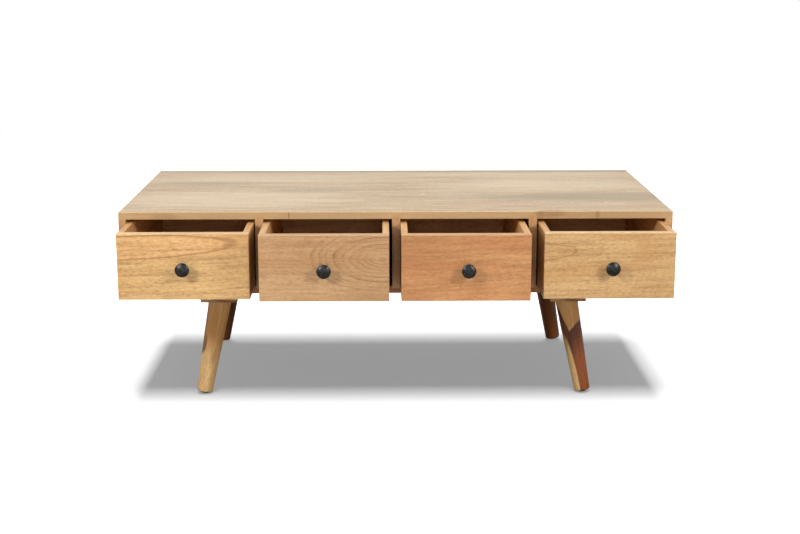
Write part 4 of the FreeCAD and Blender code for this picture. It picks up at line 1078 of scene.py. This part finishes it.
def make_screws(name, points, values, body, node):
    """Screws at the points, as one plain mesh that stands for the CAD node."""
    cloud = bpy.data.meshes.new(f"{name}_points")
    cloud.from_pydata(points, [], [])
    maker = add_object(f"{name}_maker", cloud)
    modifier = maker.modifiers.new("screws", "NODES")
    modifier.node_group = screw_tree()
    set_inputs(modifier, modifier.node_group, values)
    shown = maker.evaluated_get(bpy.context.evaluated_depsgraph_get())
    mesh = bpy.data.meshes.new_from_object(shown)
    bpy.data.objects.remove(maker)
    bpy.data.meshes.remove(cloud)
    mesh.name = name
    piece = add_object(name, mesh)
    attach(piece, body)
    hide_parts(node)


def screw_values(head, shank, whole_length, tip, head_height, head_top, turn, seed):
    """Values of the screw tree, with the cross recess in shares of the head."""
    reach_share, width_share, depth_share = 0.62, 0.17, 0.7
    return {
        "Head base radius": head / 2,
        "Head top radius": head_top / 2,
        "Head height": head_height,
        "Shank radius": shank / 2,
        "Shank length": whole_length - head_height - tip,
        "Tip length": tip,
        "Recess reach": head * reach_share,
        "Recess width": head * width_share,
        "Recess depth": head_height * depth_share,
        "Turn": turn,
        "Seed": seed,
        "Material": bpy.data.materials["fastener_steel"],
    }


POINTING_UP = (0.0, 0.0, 0.0)
POINTING_FORWARD = (math.pi / 2, 0.0, 0.0)


def countersunk_values(head, shank, tip, whole_length, seed):
    """Values of a screw that points up, whose head slants in to its shank."""
    slant = (head - shank) / 2
    return screw_values(head, shank, whole_length, tip, slant, shank, POINTING_UP, seed)


def make_block_screws(screws):
    points = []
    inset = Vector((screws.block_from_edge, screws.block_from_edge, 0.0))
    for corner in CORNERS:
        low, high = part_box(f"leg_block_{corner}")
        low, high = low + inset, high - inset
        points += [(x, y, low.z) for x in (low.x, high.x) for y in (low.y, high.y)]
    low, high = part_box("block_screws")
    seed = 1
    values = countersunk_values(screws.block_head, screws.block_shank, screws.block_tip, high.z - low.z, seed)
    make_screws("leg_block_screws", points, values, "carcass", "block_screws")


def make_bottom_screws(screws, drawer):
    node = f"drawer_{drawer}_bottom_screws"
    low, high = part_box(node)
    first = low.x + screws.bottom_head / 2
    step = (high.x - low.x - screws.bottom_head) / (screws.bottom_count - 1)
    points = [(first + index * step, (low.y + high.y) / 2, low.z) for index in range(screws.bottom_count)]
    sizes = (screws.bottom_head, screws.bottom_shank, screws.bottom_tip, high.z - low.z)
    values = countersunk_values(*sizes, drawer)
    make_screws(f"bottom_screws_{drawer}", points, values, f"drawer_{drawer}", node)


def make_knob_screw(screws, drawer):
    node = f"drawer_{drawer}_knob_screw"
    low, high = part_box(node)
    head, shank, height = screws.knob_head, screws.knob_shank, screws.knob_head_height
    blunt = shank / 2
    values = screw_values(head, shank, high.y - low.y, blunt, height, head, POINTING_FORWARD, drawer)
    make_screws(f"knob_screw_{drawer}", [side_middle(node, Y, HIGHEST)], values, f"drawer_{drawer}", node)


# Stage
def make_camera(stage):
    """Stands the camera where the photograph was taken."""
    flat_ahead = Vector((math.sin(stage.camera_turn), math.cos(stage.camera_turn), 0.0))
    ahead = flat_ahead * math.cos(stage.camera_tilt) - UP * math.sin(stage.camera_tilt)
    level = Vector((math.cos(stage.camera_turn), -math.sin(stage.camera_turn), 0.0))
    upward = level.cross(ahead)
    side = level * math.cos(stage.camera_roll) + upward * math.sin(stage.camera_roll)
    upward = side.cross(ahead)
    data = bpy.data.cameras.new("camera")
    data.lens = stage.focal_length
    camera = add_object("camera", data)
    turn = Matrix((side, upward, -ahead)).transposed().to_4x4()
    camera.matrix_world = Matrix.Translation(stage.camera_place) @ turn
    bpy.context.scene.camera = camera


def make_lamp(name, place, aim, sides, watts):
    data = bpy.data.lights.new(name, "AREA")
    data.shape = "RECTANGLE"
    data.size, data.size_y = sides
    data.energy = watts
    lamp = add_object(name, data)
    turn = (aim - place).to_track_quat("-Z", "Y").to_matrix().to_4x4()
    lamp.matrix_world = Matrix.Translation(place) @ turn
    return lamp


def light_path(wires):
    return wires.node("ShaderNodeLightPath", {}).outputs


def make_sky(stage):
    """A white background, which lights the table less than it shows and is mirrored brighter from behind."""
    world = bpy.data.worlds.new("studio")
    world.use_nodes = True
    world.node_tree.nodes.clear()
    wires = Wiring(world.node_tree)
    white = (1.0, 1.0, 1.0, 1.0)
    path = light_path(wires)
    heading = wires.parts(wires.node("ShaderNodeTexCoord", {}).outputs["Generated"])
    side_edge, back_edge = 0.0, 0.6
    behind = wires.times(wires.ramp(heading[1], side_edge, back_edge), path["Is Glossy Ray"])
    mirrored = wires.times_plus(behind, stage.backdrop - stage.sky, stage.sky)
    level = wires.math("MAXIMUM", mirrored, path["Is Camera Ray"])
    background = wires.out("ShaderNodeBackground", {"Color": white, "Strength": level})
    wires.node("ShaderNodeOutputWorld", {"Surface": background})
    bpy.context.scene.world = world


def floor_material(stage):
    """Pale floor: it keeps the table's shadow, reads as white beside it and is clear from below."""
    material, wires = new_material("studio_floor")
    cool_white = (0.94, 0.966, 1.0, 1.0)
    seen = light_path(wires)["Is Camera Ray"]
    pale = wires.times_plus(seen, stage.floor_share - stage.floor_bounce, stage.floor_bounce)
    matt = wires.out("ShaderNodeBsdfDiffuse", {"Color": pale})
    lift = wires.times(seen, stage.floor_lift)
    glow = wires.out("ShaderNodeEmission", {"Color": cool_white, "Strength": lift})
    both = wires.out("ShaderNodeAddShader", {0: matt, 1: glow})
    clear = wires.out("ShaderNodeBsdfTransparent", {})
    from_below = wires.node("ShaderNodeNewGeometry", {}).outputs["Backfacing"]
    seen_below = wires.times(from_below, seen)
    surface = wires.out("ShaderNodeMixShader", {0: seen_below, 1: both, 2: clear})
    wires.node("ShaderNodeOutputMaterial", {"Surface": surface})
    return material


def make_floor(stage):
    half = stage.floor_size / 2
    corners = [(-half, -half, 0.0), (half, -half, 0.0), (half, half, 0.0), (-half, half, 0.0)]
    mesh = bpy.data.meshes.new("floor")
    mesh.from_pydata(corners, [], [(0, 1, 2, 3)])
    mesh.materials.append(floor_material(stage))
    floor = add_object("floor", mesh)
    return floor


def linked(name, things, state):
    """A collection that a lamp takes in, or leaves out."""
    collection = bpy.data.collections.new(name)
    for thing in things:
        collection.objects.link(thing)
    for member in collection.collection_objects:
        member.light_linking.link_state = state
    return collection


def make_lamps(stage, floor):
    """Soft lamps at the front and above, which leave the floor alone, and one for the shadow on the floor."""
    table_middle = (cad_box[0] + cad_box[1]) / 2
    soft = []
    for side, sign in (("left", -1), ("right", 1)):
        place = Vector((sign * stage.key_across, -stage.key_ahead, stage.key_height))
        aim = table_middle + RIGHT * sign * stage.key_aim
        soft.append((f"lamp_{side}", place, aim, stage.key_size, stage.key_power))
    low = UP * stage.fill_height - BACKWARD * stage.fill_ahead
    soft.append(("lamp_low", low, table_middle, stage.fill_size, stage.fill_power))
    above = UP * stage.top_height + BACKWARD * stage.top_behind
    soft.append(("lamp_above", above, table_middle, stage.top_size, stage.top_power))
    all_but_floor = linked("lit_by_table_lamps", [floor], "EXCLUDE")
    for name, place, aim, size, watts in soft:
        lamp = make_lamp(name, place, aim, (size, size), watts)
        lamp.light_linking.receiver_collection = all_but_floor
    high = UP * stage.shadow_height - RIGHT * stage.shadow_left
    sides = (stage.shadow_width, stage.shadow_depth)
    shadow_lamp = make_lamp("lamp_shadow", high, high - UP, sides, stage.shadow_power)
    shadow_lamp.light_linking.receiver_collection = linked("lit_by_shadow_lamp", [floor], "INCLUDE")
    carcass = [frame["nodes"][name] for name in frame["record"]["behaviour"]["bodies"]["carcass"]]
    shadow_lamp.light_linking.blocker_collection = linked("blocks_shadow_lamp", carcass, "INCLUDE")


# Operators
class TABLE_OT_top(bpy.types.Operator):
    """Dress the table top"""

    bl_idname = "table.top"
    bl_label = "Top"

    def execute(self, context):
        top_material(context.scene.table.top)
        return {"FINISHED"}


class TABLE_OT_carcass(bpy.types.Operator):
    """Dress the sides, dividers, bottom, back, stops and dowels"""

    bl_idname = "table.carcass"
    bl_label = "Carcass"

    def execute(self, context):
        carcass_materials(context.scene.table.carcass)
        return {"FINISHED"}


class TABLE_OT_fronts(bpy.types.Operator):
    """Dress the drawer fronts, each with its own figure"""

    bl_idname = "table.fronts"
    bl_label = "Drawer fronts"

    def execute(self, context):
        front_materials(context.scene.table.fronts)
        return {"FINISHED"}


class TABLE_OT_boxes(bpy.types.Operator):
    """Dress the drawers' sides, backs and bottoms"""

    bl_idname = "table.boxes"
    bl_label = "Drawer boxes"

    def execute(self, context):
        box_materials(context.scene.table.carcass)
        return {"FINISHED"}


class TABLE_OT_legs(bpy.types.Operator):
    """Dress the legs and the blocks above them"""

    bl_idname = "table.legs"
    bl_label = "Legs"

    def execute(self, context):
        leg_materials(context.scene.table.legs)
        return {"FINISHED"}


class TABLE_OT_knobs(bpy.types.Operator):
    """Dress the knobs"""

    bl_idname = "table.knobs"
    bl_label = "Knobs"

    def execute(self, context):
        metal = context.scene.table.metal
        patch_size, roughness, relief = 0.006, 0.32, 0.00008
        finish = worn_material("knob_metal", metal.knob, metal.knob_worn, patch_size, roughness, relief)
        for drawer in DRAWERS:
            dress(f"drawer_{drawer}_knob", finish)
        return {"FINISHED"}


class TABLE_OT_fasteners(bpy.types.Operator):
    """Make the screws and dress the bolts, inserts and glides"""

    bl_idname = "table.fasteners"
    bl_label = "Fasteners"

    def execute(self, context):
        settings = context.scene.table
        metal = settings.metal
        patch_size, roughness, relief = 0.003, 0.32, 0.00004
        steel = worn_material("fastener_steel", metal.steel, metal.steel_dull, patch_size, roughness, relief)
        dress("leg_bolts", steel)
        brass = worn_material("insert_brass", metal.brass, metal.brass_dull, patch_size, roughness, relief)
        dress("leg_inserts", brass)
        patch_size, roughness, relief = 0.004, 0.5, 0.00005
        plastic = (metal.glide, metal.knob_worn, patch_size, roughness, relief)
        glide = worn_material("glide_plastic", *plastic, metallic=0.0)
        for corner in CORNERS:
            dress(f"foot_glide_{corner}", glide)
        make_block_screws(settings.screws)
        for drawer in DRAWERS:
            make_bottom_screws(settings.screws, drawer)
            make_knob_screw(settings.screws, drawer)
        return {"FINISHED"}


class TABLE_OT_stage(bpy.types.Operator):
    """Set up camera, lamps, background and floor"""

    bl_idname = "table.stage"
    bl_label = "Stage"

    def execute(self, context):
        stage = context.scene.table.stage
        context.scene.view_settings.view_transform = "Standard"
        make_camera(stage)
        make_sky(stage)
        make_lamps(stage, make_floor(stage))
        return {"FINISHED"}


OPERATORS = (
    TABLE_OT_top,
    TABLE_OT_carcass,
    TABLE_OT_fronts,
    TABLE_OT_boxes,
    TABLE_OT_legs,
    TABLE_OT_knobs,
    TABLE_OT_fasteners,
    TABLE_OT_stage,
)


class TABLE_PT_pieces(bpy.types.Panel):
    """Lists the steps that dress the table"""

    bl_idname = "TABLE_PT_pieces"
    bl_label = "Coffee table"
    bl_space_type = "VIEW_3D"
    bl_region_type = "UI"
    bl_category = "Table"

    def draw(self, context):
        for operator in OPERATORS:
            self.layout.operator(operator.bl_idname)


SETTINGS = (
    TopSettings,
    FrontSettings,
    CarcassSettings,
    LegSettings,
    MetalSettings,
    ScrewSettings,
    StageSettings,
    TableSettings,
)
CLASSES = (*SETTINGS, *OPERATORS, TABLE_PT_pieces)


def register():
    for made in CLASSES:
        bpy.utils.register_class(made)
    bpy.types.Scene.table = pointer(TableSettings, "Table", "Settings of the coffee table")


def unregister():
    del bpy.types.Scene.table
    for made in reversed(CLASSES):
        bpy.utils.unregister_class(made)


def main():
    register()
    bpy.ops.table.top()
    bpy.ops.table.carcass()
    bpy.ops.table.fronts()
    bpy.ops.table.boxes()
    bpy.ops.table.legs()
    bpy.ops.table.knobs()
    bpy.ops.table.fasteners()
    bpy.ops.table.stage()


if __name__ == "__main__":
    main()
